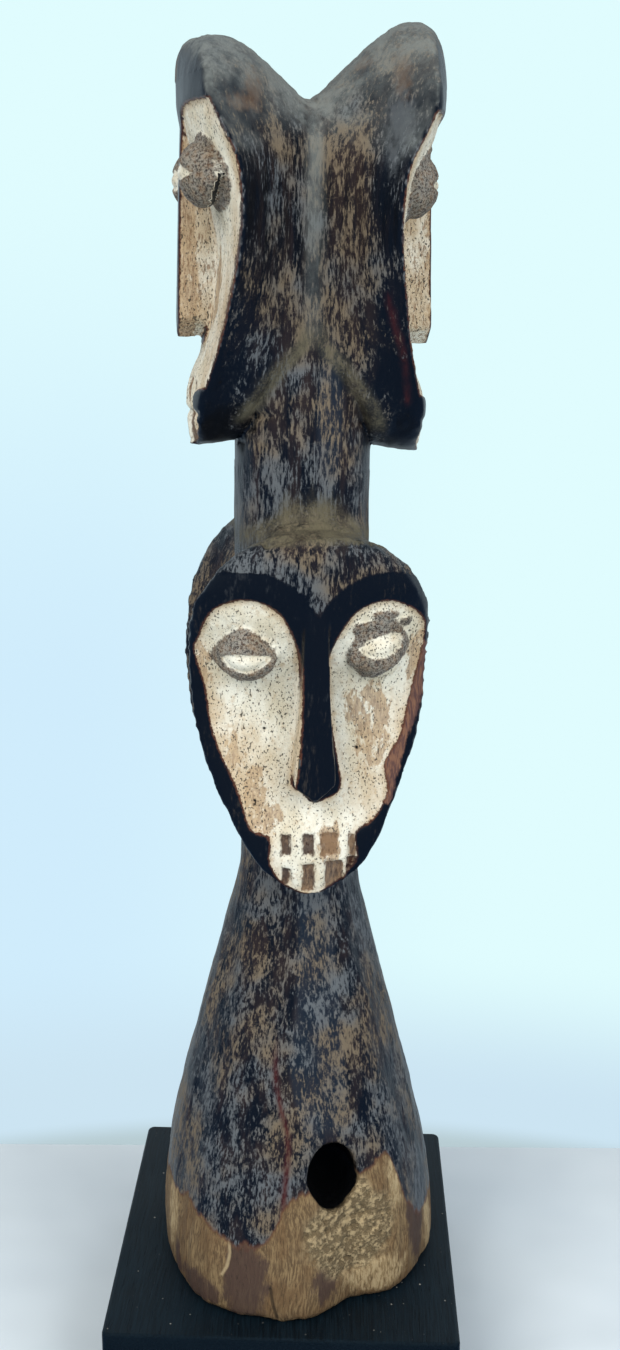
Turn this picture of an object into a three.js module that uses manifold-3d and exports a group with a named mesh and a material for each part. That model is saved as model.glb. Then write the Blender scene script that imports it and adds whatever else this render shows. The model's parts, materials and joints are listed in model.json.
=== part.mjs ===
// A carved wooden figure with four long masks on a square black plinth.
// Two masks sit back to back on top and look left and right; two more, below the neck, look to the front
// and to the back, over a flared skirt with a knot hole. Millimetres, +Z up, the front looks along -Y,
// and the origin is the middle of the plinth's underside.
import * as THREE from "three";
import { mergeVertices } from "three/addons/utils/BufferGeometryUtils.js";
import Module from "manifold-3d";

const wasm = await Module();
wasm.setup();

// Driving sizes
const PLINTH = { side: 75, height: 25, corner: 1.6, edge: 0.8 };
const SEAT_GAP = 0.3; // the figure is loose on the plinth
const FIGURE = { x: 1.3, y: -0.5, turn: THREE.MathUtils.degToRad(9.5) };
const LOWER_CHIN = 93.3; // heights above the skirt's foot
const UPPER_CHIN = 180.2;
const MASK = {
  widest: 53, // height above the chin where the outline is widest
  halfWidth: 24.1,
  chinHalfWidth: 3.4,
  reach: 24.5, // from the figure's axis to the front of the nose
  brow: 64, // where the forehead starts to roll back to the crown
  roundness: 3.3, // of the forehead's roll in profile: 2 is a circle
  rimEdge: 0.9,
  leastBody: 0.6, // behind the rim, where the chin hangs free
  tuck: 3.6, // how much the jaw's underside climbs towards the neck
  tuckBelow: 20,
};
const FOREHEAD = { from: 55, over: 10 }; // where a head's own fuller forehead and jaw set in
const JAW = { below: 22, over: 12 };
const LEAN = { from: 45, over: 25 };
const CHEEK = { middle: 34, over: 20, fullness: 1.1 }; // the face is hollow here and fuller above and below
const CREST_POWER = 1.15; // how the crest climbs from the notch
const GABLE_POWER = 1.8; // how the sides part into the gable over the neck
const HOLLOW_POWER = 1.6; // how the sides hollow from the rim to the seam
const NOSE = { top: 60, tip: 20.8, corner: 24.2, root: 12, bevel: 0.5 };
const NOSE_HALF_WIDTHS = [[NOSE.top, 2.1], [50, 2.3], [42, 2.7], [33, 3.4], [NOSE.corner, 4.0]];
const EYE = { side: 13, height: 49.6, width: 7.0, depth: 4.4, rise: 5.5, sink: 1.0, turn: 0.36, pinch: 0.45 };
const TEETH = {
  columns: [{ at: -6.3, width: 1.9 }, { at: -2.0, width: 2.4 }, { at: 2.2, width: 2.9 }, { at: 6.3, width: 1.9 }],
  rows: [{ bottom: 9.4, top: 13.4 }, { bottom: 3.0, top: 8.0 }],
  depth: 0.8,
};
const NECK = {
  halfWidth: 13.3,
  halfDepth: 12.9,
  squareness: 0.025,
  bottom: 150,
  top: 205,
  gable: 21.3, // height of the gable above the upper chins
  closingFrom: 188,
  taper: 2.2,
};
const SEAM_HALF_WIDTH = 12.4;
const COLLAR = { bottom: 140, edge: 165.8, top: 171.2, reach: 18.2, squash: 0.72, steps: 4 };
const HOLE = { side: 4.7, height: 31.2, halfWidth: 5.8, halfHeight: 7.3, depth: 17, tilt: 0.5, narrowing: 0.3 };
const SKIRT = { footBelow: 55, squareness: 0.04, facets: 9, facetDepth: 0.012, facetTurn: 0.6, crowding: 1.5 };

// How far the mask's face lies behind the front of its nose: beside the nose and at the rim, by height.
const FACE_SETBACK = [[0, 2.6], [2, 1.9], [5, 1.7], [9, 1.7], [13, 2.3], [18, 4.3], [26, 5.9], [37, 6.6], [44, 5.6],
  [50, 3.8], [56, 1.6], [62, 0.5]];
const RIM_SETBACK = [[0, 4.2], [5.7, 3.4], [10.5, 3.8], [17, 5.5], [26, 7.5], [37, 9.3], [45, 9.7], [52, 8.7],
  [57, 6.3], [62, 4.1]];
const LOWER_OUTLINE = [[0, MASK.chinHalfWidth], [1.5, 6.0], [6.5, 11.0], [16.5, 16.3], [31.5, 22.1], [43, 23.9],
  [MASK.widest, MASK.halfWidth]];
// The skirt's radius by height, and how its plan swells and flattens round the foot, by degrees from the front.
const SKIRT_RADIUS = [[0, 29.6], [1.6, 30.4], [10, 30.4], [20, 29.4], [28, 28.0], [37, 26.0], [44, 24.3], [52, 22.3],
  [60, 20.4], [68, 18.2], [77, 15.8], [84, 14.1], [91, 12.7], [100, 12.1], [158, 12.1]];
const SKIRT_PLAN = [[-180, 0.4], [-120, 0.2], [-90, -1.5], [-60, -0.3], [-25, 1.9], [0, 1.1], [18, -2.2], [45, 0],
  [90, 0.6], [140, 0.3], [180, 0.4]];

const OVERLAP = 0.4; // how far two heads run into each other at the seam, and how much they narrow there
const SEAM_TAPER = 1.2;
const ROWS_PER_MASK = 22;
const clamp = (v, low, high) => Math.min(high, Math.max(low, v));
const mix = (a, b, t) => a + (b - a) * t;

// A smooth curve through a few [place, value] stops.
function curve(stops) {
  const slope = (i) => {
    const before = stops[Math.max(0, i - 1)];
    const after = stops[Math.min(stops.length - 1, i + 1)];
    return (after[1] - before[1]) / (after[0] - before[0]);
  };
  return (at) => {
    const place = clamp(at, stops[0][0], stops[stops.length - 1][0]);
    let i = 0;
    while (i < stops.length - 2 && place > stops[i + 1][0]) i += 1;
    const [x0, y0] = stops[i];
    const [x1, y1] = stops[i + 1];
    const step = x1 - x0;
    const t = (place - x0) / step;
    const ease = t * t * (3 - 2 * t);
    const leave = (t * t * t - 2 * t * t + t) * step * slope(i);
    const arrive = (t * t * t - t * t) * step * slope(i + 1);
    return mix(y0, y1, ease) + leave + arrive;
  };
}

const faceSetback = curve(FACE_SETBACK);
const rimSetback = curve(RIM_SETBACK);
const lowerOutline = curve(LOWER_OUTLINE);
const skirtRadius = curve(SKIRT_RADIUS);
const skirtPlan = curve(SKIRT_PLAN);

// A closed body lofted through rings of points: place(column, row) gives a point, row 0 is the top ring.
function loft(columns, rows, place) {
  const geometry = new THREE.CylinderGeometry(1, 1, 1, columns, rows);
  const position = geometry.getAttribute("position");
  const middleOf = (row) => {
    const sum = new THREE.Vector3();
    for (let column = 0; column < columns; column += 1) sum.add(place(column, row));
    return sum.divideScalar(columns);
  };
  for (let i = 0; i < position.count; i += 1) {
    const x = position.getX(i);
    const z = position.getZ(i);
    const row = Math.round((0.5 - position.getY(i)) * rows);
    const turn = Math.atan2(x, z) / (2 * Math.PI);
    const column = Math.round(((turn + 1) % 1) * columns) % columns;
    const point = Math.hypot(x, z) < 0.5 ? middleOf(row) : place(column, row);
    position.setXYZ(i, point.x, point.y, point.z);
  }
  return geometry;
}

// A three.js geometry as a closed solid, with the triangles that shrank to a line left out.
function solid(geometry) {
  const bare = geometry.clone();
  bare.deleteAttribute("normal");
  bare.deleteAttribute("uv");
  const merged = mergeVertices(bare, 1e-3);
  const kept = [];
  for (let i = 0; i < merged.index.count; i += 3) {
    const [a, b, c] = [0, 1, 2].map((corner) => merged.index.getX(i + corner));
    if (a !== b && b !== c && c !== a) kept.push(a, b, c);
  }
  return new wasm.Manifold(
    new wasm.Mesh({
      numProp: 3,
      vertProperties: new Float32Array(merged.getAttribute("position").array),
      triVerts: new Uint32Array(kept),
    }),
  );
}

function geometryOf(body) {
  const mesh = body.getMesh();
  const points = new Float32Array(mesh.numVert * 3);
  for (let i = 0; i < mesh.numVert; i += 1) {
    points.set(mesh.vertProperties.subarray(i * mesh.numProp, i * mesh.numProp + 3), i * 3);
  }
  const geometry = new THREE.BufferGeometry();
  geometry.setAttribute("position", new THREE.BufferAttribute(points, 3));
  geometry.setIndex(new THREE.BufferAttribute(mesh.triVerts, 1));
  geometry.computeVertexNormals();
  return geometry;
}

// A mask is described in its own frame: x across the face, z up from the chin, and depth measured from the
// figure's axis towards the face, which is -Y before the mask is turned to its side.

// How much of the full width is left at height z under a rounded arch that closes at a top height.
function arch(mask, z, top) {
  const up = clamp((z - mask.shoulder) / (top + 0.1 - mask.shoulder), 0, 1);
  return Math.sqrt(1 - up * up);
}

// Half the width of the mask's outline: a rounded arch over the eyes, a long taper to the chin below them.
function outline(mask, z) {
  return lowerOutline(z) * mask.width * arch(mask, z, mask.crown);
}

// 0 below the brow, rising to 1 where the forehead has rolled back to the crown.
function rollBack(mask, z) {
  const up = clamp((z - MASK.brow) / (mask.crown - MASK.brow), 0, 1);
  return 1 - Math.max(0, 1 - up ** MASK.roundness) ** (1 / MASK.roundness);
}

// Depth of the face, without nose and eyes, at a share of the half width from the middle to the rim.
function faceDepth(mask, share, z) {
  const forehead = mask.forehead * clamp((z - FOREHEAD.from) / FOREHEAD.over, 0, 1);
  const jaw = mask.jaw * clamp((JAW.below - z) / JAW.over, 0, 1);
  const bulge = forehead + jaw;
  const middle = MASK.reach + bulge - faceSetback(z);
  const rim = MASK.reach + bulge / 2 - rimSetback(z);
  const fullness = 1 + CHEEK.fullness * clamp(Math.abs(z - CHEEK.middle) / CHEEK.over, 0, 1);
  const depth = mix(middle, rim, share ** fullness);
  return mix(depth, mask.peak, rollBack(mask, z));
}

// Height of the crest at a depth: it falls from the crown back to the notch between two heads.
function crest(mask, depth) {
  const share = clamp(depth / mask.peak, 0, 1);
  return mix(mask.notch, mask.crown, Math.sin((share ** CREST_POWER * Math.PI) / 2));
}

// Where the mask's body ends towards the axis: behind the crown, at the seam, or at the neck's gable.
function backDepth(mask, z) {
  if (z > mask.notch) {
    const up = clamp((z - mask.notch) / (mask.crown - mask.notch), 0, 1);
    return mask.peak * (Math.asin(up) / (Math.PI / 2)) ** (1 / CREST_POWER);
  }
  if (z >= NECK.gable) return -OVERLAP;
  const down = clamp(z / NECK.gable, 0, 1);
  return mix(NECK.halfDepth - OVERLAP, -OVERLAP, down ** GABLE_POWER);
}

// Half the width of the body behind the mask, hollowed between the rim and the seam.
function sideWidth(mask, depth, z) {
  const rimDepth = faceDepth(mask, 1, z) - MASK.rimEdge;
  const seam = Math.min(SEAM_HALF_WIDTH, lowerOutline(z));
  const towardsRim = clamp(depth / Math.max(rimDepth, 1), 0, 1);
  const pastSeam = SEAM_TAPER * clamp(-depth / OVERLAP, 0, 1);
  const half = mix(seam, lowerOutline(z) * mask.width, towardsRim ** HOLLOW_POWER) - pastSeam;
  return half * arch(mask, z, crest(mask, depth));
}

const FRONT_SHARES = [0, 0.15, 0.32, 0.5, 0.68, 0.85, 0.97];
const SIDE_STEPS = [0, 0.22, 0.45, 0.7, 1];

// The half ring of points round a mask at height z, from the middle of the face to the middle of the back.
function maskHalfRing(mask, z) {
  const half = outline(mask, z);
  const points = FRONT_SHARES.map((share) => [share * half, faceDepth(mask, share, z)]);
  const rim = faceDepth(mask, 1, z) - MASK.rimEdge;
  const back = Math.min(backDepth(mask, z), rim - MASK.leastBody);
  for (const step of SIDE_STEPS) {
    const depth = mix(rim, back, step);
    points.push([Math.max(0.2, sideWidth(mask, depth, z)), depth]);
  }
  points.push([points[points.length - 1][0] * 0.5, back]);
  points.push([0, back]);
  return points;
}

function maskBody(mask) {
  const heights = [];
  for (let row = 0; row <= ROWS_PER_MASK; row += 1) {
    const t = row / ROWS_PER_MASK;
    const eased = mix(t, 0.5 - 0.5 * Math.cos(Math.PI * t), 0.72);
    heights.push(mix(mask.crown - 0.05, 0, eased));
  }
  const rings = heights.map((z) => maskHalfRing(mask, z));
  const half = rings[0].length - 1;
  return loft(2 * half, ROWS_PER_MASK, (column, row) => {
    const left = column > half;
    const [x, depth] = rings[row][left ? 2 * half - column : column];
    const z = heights[row];
    const lean = mask.lean * clamp((z - LEAN.from) / LEAN.over, 0, 1);
    const tuck = MASK.tuck * (1 - depth / MASK.reach) * clamp(1 - z / MASK.tuckBelow, 0, 1);
    return new THREE.Vector3((left ? -x : x) + lean, -depth, z + tuck);
  });
}

// The long wedge of the nose, straight in profile, ending in a point below two square corners.
function nose() {
  const shape = new THREE.Shape();
  shape.moveTo(0, NOSE.tip);
  for (const [z, half] of [...NOSE_HALF_WIDTHS].reverse()) shape.lineTo(half, z);
  for (const [z, half] of NOSE_HALF_WIDTHS) shape.lineTo(-half, z);
  shape.closePath();
  const geometry = new THREE.ExtrudeGeometry(shape, {
    depth: MASK.reach - NOSE.root - NOSE.bevel,
    bevelSize: NOSE.bevel,
    bevelThickness: NOSE.bevel,
    bevelSegments: 1,
  });
  geometry.rotateX(Math.PI / 2);
  geometry.translate(0, -NOSE.root, 0);
  return geometry;
}

// A bulging eye, its corners drawn to points, turned outward with the cheek.
function eye(mask, side) {
  const geometry = new THREE.SphereGeometry(1, 12, 7);
  const position = geometry.getAttribute("position");
  for (let i = 0; i < position.count; i += 1) {
    const across = position.getX(i);
    const pinch = 1 - EYE.pinch * across * across;
    position.setXYZ(i, across * EYE.width, position.getY(i) * EYE.depth * pinch, position.getZ(i) * EYE.rise * pinch);
  }
  const depth = faceDepth(mask, EYE.side / outline(mask, EYE.height), EYE.height) - EYE.sink;
  if (side > 0) geometry.rotateY(-mask.eyeTilt);
  geometry.rotateZ(side * EYE.turn);
  geometry.translate(side * EYE.side, -depth, EYE.height);
  return geometry;
}

// The sunk panels between the bars of the mouth.
function toothPanels(mask) {
  const panels = [];
  for (const row of TEETH.rows) {
    for (const column of TEETH.columns) {
      const middle = (row.bottom + row.top) / 2;
      const share = Math.abs(column.at) / outline(mask, middle);
      const depth = faceDepth(mask, share, middle);
      const panel = new THREE.BoxGeometry(column.width, 2 * TEETH.depth + 1, row.top - row.bottom);
      panel.translate(column.at, -depth - 0.5, middle);
      panels.push(panel);
    }
  }
  return panels;
}

// One whole head, at its height on the figure and turned to its side.
function head(mask) {
  let body = solid(maskBody(mask)).add(solid(nose()));
  for (const side of [-1, 1]) body = body.add(solid(eye(mask, side)));
  for (const panel of toothPanels(mask)) body = body.subtract(solid(panel));
  const place = new THREE.Matrix4().makeRotationZ(mask.turn).setPosition(0, 0, mask.chin);
  return body.transform(place.toArray());
}

// The neck between the lower and the upper heads, slightly square, closing a little where it ends in a gable.
function neck() {
  const columns = 16;
  const rows = 8;
  return loft(columns, rows, (at, row) => {
    const z = mix(NECK.top, NECK.bottom, row / rows);
    const angle = (at / columns) * 2 * Math.PI;
    const squareness = 1 + NECK.squareness * (1 - Math.cos(4 * angle));
    const closing = NECK.taper * clamp((z - NECK.closingFrom) / (NECK.top - NECK.closingFrom), 0, 1) ** 2;
    const x = Math.sin(angle) * (NECK.halfWidth - closing) * squareness;
    const y = -Math.cos(angle) * (NECK.halfDepth - closing) * squareness;
    return new THREE.Vector3(x, y, z);
  });
}

// The cove where the neck runs out over the crowns of the lower heads, front and back.
function collar() {
  const profile = [new THREE.Vector2(0, COLLAR.bottom), new THREE.Vector2(COLLAR.reach - OVERLAP, COLLAR.bottom)];
  for (let step = 0; step <= COLLAR.steps; step += 1) {
    const angle = (step / COLLAR.steps) * (Math.PI / 2);
    const r = mix(NECK.halfDepth - OVERLAP, COLLAR.reach, 1 - Math.sin(angle));
    profile.push(new THREE.Vector2(r, mix(COLLAR.edge, COLLAR.top, 1 - Math.cos(angle))));
  }
  profile.push(new THREE.Vector2(0, COLLAR.top));
  const geometry = new THREE.LatheGeometry(profile, 20);
  geometry.rotateX(Math.PI / 2);
  geometry.scale(COLLAR.squash, 1, 1);
  return geometry;
}

// The flared skirt: round-square in plan, with a few broad knife facets.
function skirt() {
  const rows = 18;
  const columns = 28;
  const top = SKIRT_RADIUS[SKIRT_RADIUS.length - 1][0];
  return loft(columns, rows, (at, row) => {
    const z = top * (1 - row / rows) ** SKIRT.crowding;
    const angle = (at / columns) * 2 * Math.PI;
    const degrees = THREE.MathUtils.radToDeg(angle > Math.PI ? angle - 2 * Math.PI : angle);
    const foot = 1 - clamp(z / SKIRT.footBelow, 0, 1);
    const square = 0.5 * (1 - Math.cos(4 * angle)) * SKIRT.squareness;
    const facet = SKIRT.facetDepth * Math.cos(SKIRT.facets * angle + SKIRT.facetTurn);
    const radius = skirtRadius(z) * (1 + square * foot + facet) + skirtPlan(degrees) * foot;
    return new THREE.Vector3(Math.sin(angle) * radius, -Math.cos(angle) * radius, z);
  });
}

// The knot hole in the skirt, right of the middle: an upright oval that narrows to a point below.
function knotHole() {
  const geometry = new THREE.SphereGeometry(1, 16, 12);
  const position = geometry.getAttribute("position");
  for (let i = 0; i < position.count; i += 1) {
    const [x, y, z] = [position.getX(i), position.getY(i), position.getZ(i)];
    const narrowing = z < 0 ? 1 - HOLE.narrowing * z * z : 1;
    position.setXYZ(i, x * HOLE.halfWidth * narrowing, y * HOLE.depth, z * HOLE.halfHeight);
  }
  geometry.rotateX(-HOLE.tilt);
  geometry.translate(HOLE.side, -skirtRadius(HOLE.height) + 0.5, HOLE.height);
  return geometry;
}

const quarter = Math.PI / 2;
const lower = { chin: LOWER_CHIN, turn: 0, shoulder: MASK.widest, width: 1, crown: 73.5, notch: 70, peak: 17.5 };
const rear = { ...lower, chin: LOWER_CHIN - 4.5, turn: 2 * quarter, shoulder: 47, width: 0.96, crown: 78.5 };
const left = { ...lower, chin: UPPER_CHIN + 0.1, turn: -quarter, crown: 73.7, notch: 65.4, peak: 15.5 };
const right = { ...lower, chin: UPPER_CHIN - 1.1, turn: quarter, crown: 78.4, notch: 66.6, peak: 19 };
const heads = [
  { ...lower, forehead: 0, jaw: 0.3, lean: 0.3, eyeTilt: 0.25 },
  { ...rear, forehead: 0, jaw: 0, lean: 0, eyeTilt: 0 },
  { ...left, forehead: -0.3, jaw: 0.4, lean: 0, eyeTilt: 0 },
  { ...right, forehead: 1.1, jaw: 1.2, lean: 0, eyeTilt: 0 },
];

function carvedFigure() {
  let body = solid(skirt()).add(solid(neck())).add(solid(collar()));
  for (const mask of heads) body = body.add(head(mask));
  body = body.subtract(solid(knotHole()));
  const mesh = new THREE.Mesh(
    geometryOf(body),
    new THREE.MeshStandardMaterial({ color: 0x2a1f1a, roughness: 0.5, metalness: 0 }),
  );
  mesh.name = "figure";
  mesh.rotation.z = FIGURE.turn;
  mesh.position.set(FIGURE.x, FIGURE.y, PLINTH.height + SEAT_GAP);
  return mesh;
}

function squarePlinth() {
  const half = PLINTH.side / 2 - PLINTH.edge;
  const inner = half - PLINTH.corner;
  const shape = new THREE.Shape();
  for (let turn = 0; turn < 4; turn += 1) {
    const [x, y] = [[inner, -inner], [inner, inner], [-inner, inner], [-inner, -inner]][turn];
    shape.absarc(x, y, PLINTH.corner, (turn - 1) * quarter, turn * quarter, false);
  }
  const geometry = new THREE.ExtrudeGeometry(shape, {
    depth: PLINTH.height - 2 * PLINTH.edge,
    bevelSize: PLINTH.edge,
    bevelThickness: PLINTH.edge,
    bevelSegments: 2,
    curveSegments: 3,
  });
  geometry.translate(0, 0, PLINTH.edge);
  const mesh = new THREE.Mesh(
    geometry,
    new THREE.MeshStandardMaterial({ color: 0x0b0f14, roughness: 0.45, metalness: 0 }),
  );
  mesh.name = "plinth";
  return mesh;
}

const part = new THREE.Group();
part.add(carvedFigure(), squarePlinth());
export default part;
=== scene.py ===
"""A carved wooden figure with four whitened masks, on a black square plinth.

The figure's solid is worked up from closed forms, joined, carved further point by point and finished in wood,
clay and dust. Millimetres inside the making of a piece, metres in the scene.
"""

import itertools
import json
import math

import bmesh
import bpy
import numpy as np
from bpy.props import FloatProperty, FloatVectorProperty, IntProperty, PointerProperty
from mathutils import Matrix, Vector

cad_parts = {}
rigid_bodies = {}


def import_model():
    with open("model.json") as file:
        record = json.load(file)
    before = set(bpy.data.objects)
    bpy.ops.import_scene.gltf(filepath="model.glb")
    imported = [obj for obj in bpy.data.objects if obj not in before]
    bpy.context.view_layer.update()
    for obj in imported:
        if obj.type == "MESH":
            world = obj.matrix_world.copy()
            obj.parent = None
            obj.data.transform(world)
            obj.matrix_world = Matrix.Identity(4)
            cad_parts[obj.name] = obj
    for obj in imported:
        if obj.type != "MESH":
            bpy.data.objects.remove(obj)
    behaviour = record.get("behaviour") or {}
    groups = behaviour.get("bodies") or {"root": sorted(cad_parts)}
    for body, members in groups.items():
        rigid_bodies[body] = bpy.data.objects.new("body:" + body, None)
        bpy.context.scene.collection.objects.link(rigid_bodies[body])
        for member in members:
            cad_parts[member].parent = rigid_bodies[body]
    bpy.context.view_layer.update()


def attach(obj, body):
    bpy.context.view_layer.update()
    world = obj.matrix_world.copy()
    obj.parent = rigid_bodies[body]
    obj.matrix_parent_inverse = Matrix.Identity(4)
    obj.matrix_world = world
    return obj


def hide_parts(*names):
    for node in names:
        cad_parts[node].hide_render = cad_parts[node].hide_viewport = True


for leftover in list(bpy.data.objects):
    bpy.data.objects.remove(leftover)
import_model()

bl_info = {
    "name": "Carved figure with janus heads",
    "version": (1, 0, 0),
    "blender": (4, 5, 0),
    "location": "View3D > Sidebar > Carved figure",
    "description": "Makes a carved figure on its plinth, and a plain stage for it",
    "category": "Object",
}

TAU = 2 * math.pi
MM = 0.001

# Places on the plinth, in millimetres and degrees
PLINTH_TOP = 25.0
SEAT_GAP = 0.3
FIGURE_PLACE = (1.3, -0.5)
FIGURE_TURN = math.radians(9.5)

# A mask in its own frame: across, up from the chin, and depth from the figure's axis to the face
MASK_REACH = 24.5
BROW = 64.0
RIM_EDGE = 0.9
LEAST_BODY = 0.6
TUCK = 3.6
TUCK_BELOW = 20.0
FOREHEAD = (55.0, 10.0)
JAW = (22.0, 12.0)
LEAN = (45.0, 25.0)
CHEEK_MIDDLE, CHEEK_OVER, CHEEK_FULLNESS = 34.0, 20.0, 1.1
CREST_POWER = 1.35
GABLE_POWER = 1.8
HOLLOW_POWER = 1.6
OVERLAP = 0.4
SEAM_TAPER = 1.2
SEAM_HALF_WIDTH = 12.4
GABLE = 21.3

FACE_SETBACK = ((0, 2.6), (2, 1.9), (5, 1.7), (9, 1.7), (13, 2.3), (18, 4.3), (26, 5.9), (37, 6.6), (44, 5.6),
                (50, 3.8), (56, 1.6), (62, 0.5))
RIM_SETBACK = ((0, 4.2), (5.7, 3.4), (10.5, 3.8), (17, 5.5), (26, 7.5), (37, 9.3), (45, 9.7), (52, 8.7), (57, 6.3),
               (62, 4.1))
LOWER_OUTLINE = ((0, 3.4), (1.5, 6.0), (6.5, 11.0), (16.5, 16.3), (31.5, 22.1), (43, 23.9), (53, 24.1))
SKIRT_RADIUS = ((0, 29.6), (1.6, 30.4), (10, 30.4), (20, 29.4), (28, 28.0), (37, 26.0), (44, 24.3), (52, 22.3),
                (60, 20.4), (68, 18.2), (77, 15.8), (84, 14.1), (91, 12.7), (100, 12.1), (158, 12.1))
SKIRT_PLAN = ((-180, 0.4), (-120, 0.2), (-90, -1.5), (-60, -0.3), (-25, 1.9), (0, 1.1), (18, -2.2), (45, 0),
              (90, 0.6), (140, 0.3), (180, 0.4))
SKIRT_FOOT, SKIRT_SQUARE, SKIRT_FACETS, SKIRT_FACET_DEPTH, SKIRT_FACET_TURN = 55.0, 0.04, 9, 0.012, 0.6
NECK = {"half_width": 13.3, "half_depth": 12.9, "squareness": 0.025, "bottom": 150, "top": 205,
        "closing_from": 188, "taper": 2.2}
COLLAR = {"bottom": 140, "edge": 165.8, "top": 171.2, "reach": 18.2, "squash": 0.72}
HOLE = {"side": 4.7, "height": 31.2, "half_width": 5.8, "half_height": 7.3, "depth": 17, "tilt": 0.5,
        "narrowing": 0.3}
NOSE_TIP = 20.8
NOSE_ROOT = 12.0
NOSE_DEPTH = ((20, 24.5), (35, 24.2), (45, 23.95), (53, 23.7), (60, 23.4))
NOSE_HALF_WIDTHS = ((24.2, 4.0), (33, 3.4), (42, 2.7), (50, 2.3), (60, 2.1))
EYE = {"side": 13.0, "height": 49.6, "width": 7.0, "depth": 4.4, "rise": 5.5, "turn": 0.36, "pinch": 0.45}

# Each mask: height of its chin, the way it looks, its outline, and what sets it apart from the others
LOWER = {"chin": 93.3, "turn": 0.0, "shoulder": 53.0, "width": 1.0, "crown": 73.5, "notch": 70.0, "peak": 17.5,
         "forehead": 0.0, "jaw": 0.0, "lean": 0.0, "eye_tilt": 0.0, "eye_sink": 1.0, "mouth_slit": 0.3,
         "roundness": 3.3, "chamfer": 0.0}
HEADS = {
    "front": dict(LOWER, jaw=0.3, lean=0.3, eye_tilt=0.25, mouth_slit=0.0, chamfer=1.0),
    "rear": dict(LOWER, chin=88.8, turn=math.pi, shoulder=47.0, width=0.96, crown=78.5),
    "left": dict(LOWER, chin=180.3, turn=-math.pi / 2, crown=73.7, notch=63.7, peak=15.5, forehead=0.1, jaw=0.4,
                 eye_sink=-1.2, mouth_slit=0.75, roundness=3.8),
    "right": dict(LOWER, chin=179.1, turn=math.pi / 2, crown=78.4, notch=64.9, peak=19.0, forehead=1.1, jaw=1.2,
                  eye_sink=0.6, roundness=2.9),
}
CHAMFER_RIGHT = ((0, 0.2), (15, 0.4), (32, 0.4), (45, 0.9), (54, 1.8), (62, 2.5), (74, 2.2))

# The whitened heart of the front mask, from the nose's tip round the left cheek, the chin and the right cheek
HEART_LEFT = ((0, 19.1), (-2.2, 21.3), (-4.0, 22.8), (-3.1, 29), (-2.7, 38), (-2.8, 47.6), (-4.5, 53.4),
              (-7.1, 58), (-11.4, 60.6), (-16.1, 60.5), (-20, 58), (-22, 52.5), (-22.6, 49.5), (-20.5, 42),
              (-19.5, 34.6), (-17.5, 28.5), (-14.2, 20.8), (-12.3, 14.4), (-8.6, 12.7), (-8.5, 7.4), (-5.7, 2.8),
              (0, 0.6))
HEART_RIGHT = ((5.6, 3.0), (8.9, 7.5), (8.6, 13.0), (12.3, 15.3), (15.5, 20.2), (14.9, 26), (18.2, 31.6),
               (20, 40), (21.8, 48), (21.8, 55), (18, 58.8), (12.9, 60.3), (7.4, 58.2), (3.9, 52), (2.8, 46),
               (3.7, 37.3), (5.1, 28.7), (5.9, 21.8), (2.4, 19.6))
# The other masks are white out to the rim
WIDE_CHEEK = ((0, 19.4), (3.9, 21.6), (3.2, 31), (2.7, 44), (2.6, 56), (4.2, 60), (10, 61.3), (18, 61.3),
              (26, 60), (30, 50), (30, 18), (16, 12.8), (9.2, 11), (8.8, 6), (5.5, 2.4), (0, 0.6))
LID_LEFT = ((-19.7, 48.7), (-18.2, 51.9), (-16.2, 54.1), (-13.6, 55.2), (-10.2, 53.1), (-7.3, 50.0), (-7.6, 47.2),
            (-9.3, 44.5), (-12.3, 44.2), (-15.6, 44.9))
BALL_LEFT = ((-17.9, 49.2), (-15.6, 50.3), (-12, 50.3), (-8.2, 49.6), (-10.4, 47.3), (-13.2, 46.3), (-16.2, 47.2))
LID_RIGHT = ((6.8, 47.9), (7.2, 52), (9.4, 55.5), (12.8, 57.1), (15.8, 56), (18.4, 52.6), (19.2, 50), (15.8, 46.8),
             (11, 43.7), (8.6, 45.4))
BALL_RIGHT = ((8.4, 50.2), (10, 52.3), (13, 53.4), (16.5, 53.4), (17.5, 51.5), (14.8, 49.3), (11, 48.7))
# The upper masks' eyes are dark but for a white slit
LID_SIDE = ((5.6, 49.2), (8, 53.4), (12.5, 56.2), (17, 55), (19.6, 50.4), (19.2, 46.2), (15.5, 43.6), (10, 43.2),
            (6.8, 45.6))
BALL_SIDE = ((6.5, 49.4), (9.5, 51.4), (13.0, 51.2), (16.8, 49.4), (13.4, 48.2), (9.5, 47.6))
SMUDGES = ((8.6, 54.6, 1.9, 1.7), (13.4, 57.3, 3.4, 1.3), (17.8, 55.6, 1.5, 1.3), (7.4, 49, 1.3, 3))
# Sunk panels of the mouth: left, right, bottom, top, and 0 for dark to 1 for pale
PANELS = ((-6.3, -4.4, 9.0, 13.3, 0.1), (-2.1, 0.4, 8.9, 13.3, 0.1), (1.6, 5.1, 8.8, 13.5, 0.8),
          (7.3, 8.7, 8.2, 12.8, 0.5), (-6.1, -4.3, 2.6, 6.3, 0.2), (-2.1, 0.4, 1.2, 7.2, 0.4),
          (2.5, 6.3, 0.6, 7.5, 0.45), (7.0, 9.1, 3.6, 8.0, 0.25))
BARE_CHEEKS = ((12.5, 33.5, 3.6, 8.5), (9.4, 37.5, 3.0, 3.5), (-11.0, 20.0, 2.2, 6.5), (-9.2, 16.5, 3.0, 3.2),
               (-21.6, 46.5, 1.9, 5.0), (20.8, 47.0, 1.7, 5.5), (-15.2, 29.0, 1.6, 3.6), (3.4, 11.0, 2.4, 4.0))
BROWN_BAND = ((23.2, 50), (22.9, 43.3), (22.4, 38.3), (21.0, 34), (18.9, 28.5), (16.2, 18.4), (14, 19.5),
              (13.8, 26), (16.5, 31), (18.5, 38), (20.0, 44), (20.8, 50))
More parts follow.
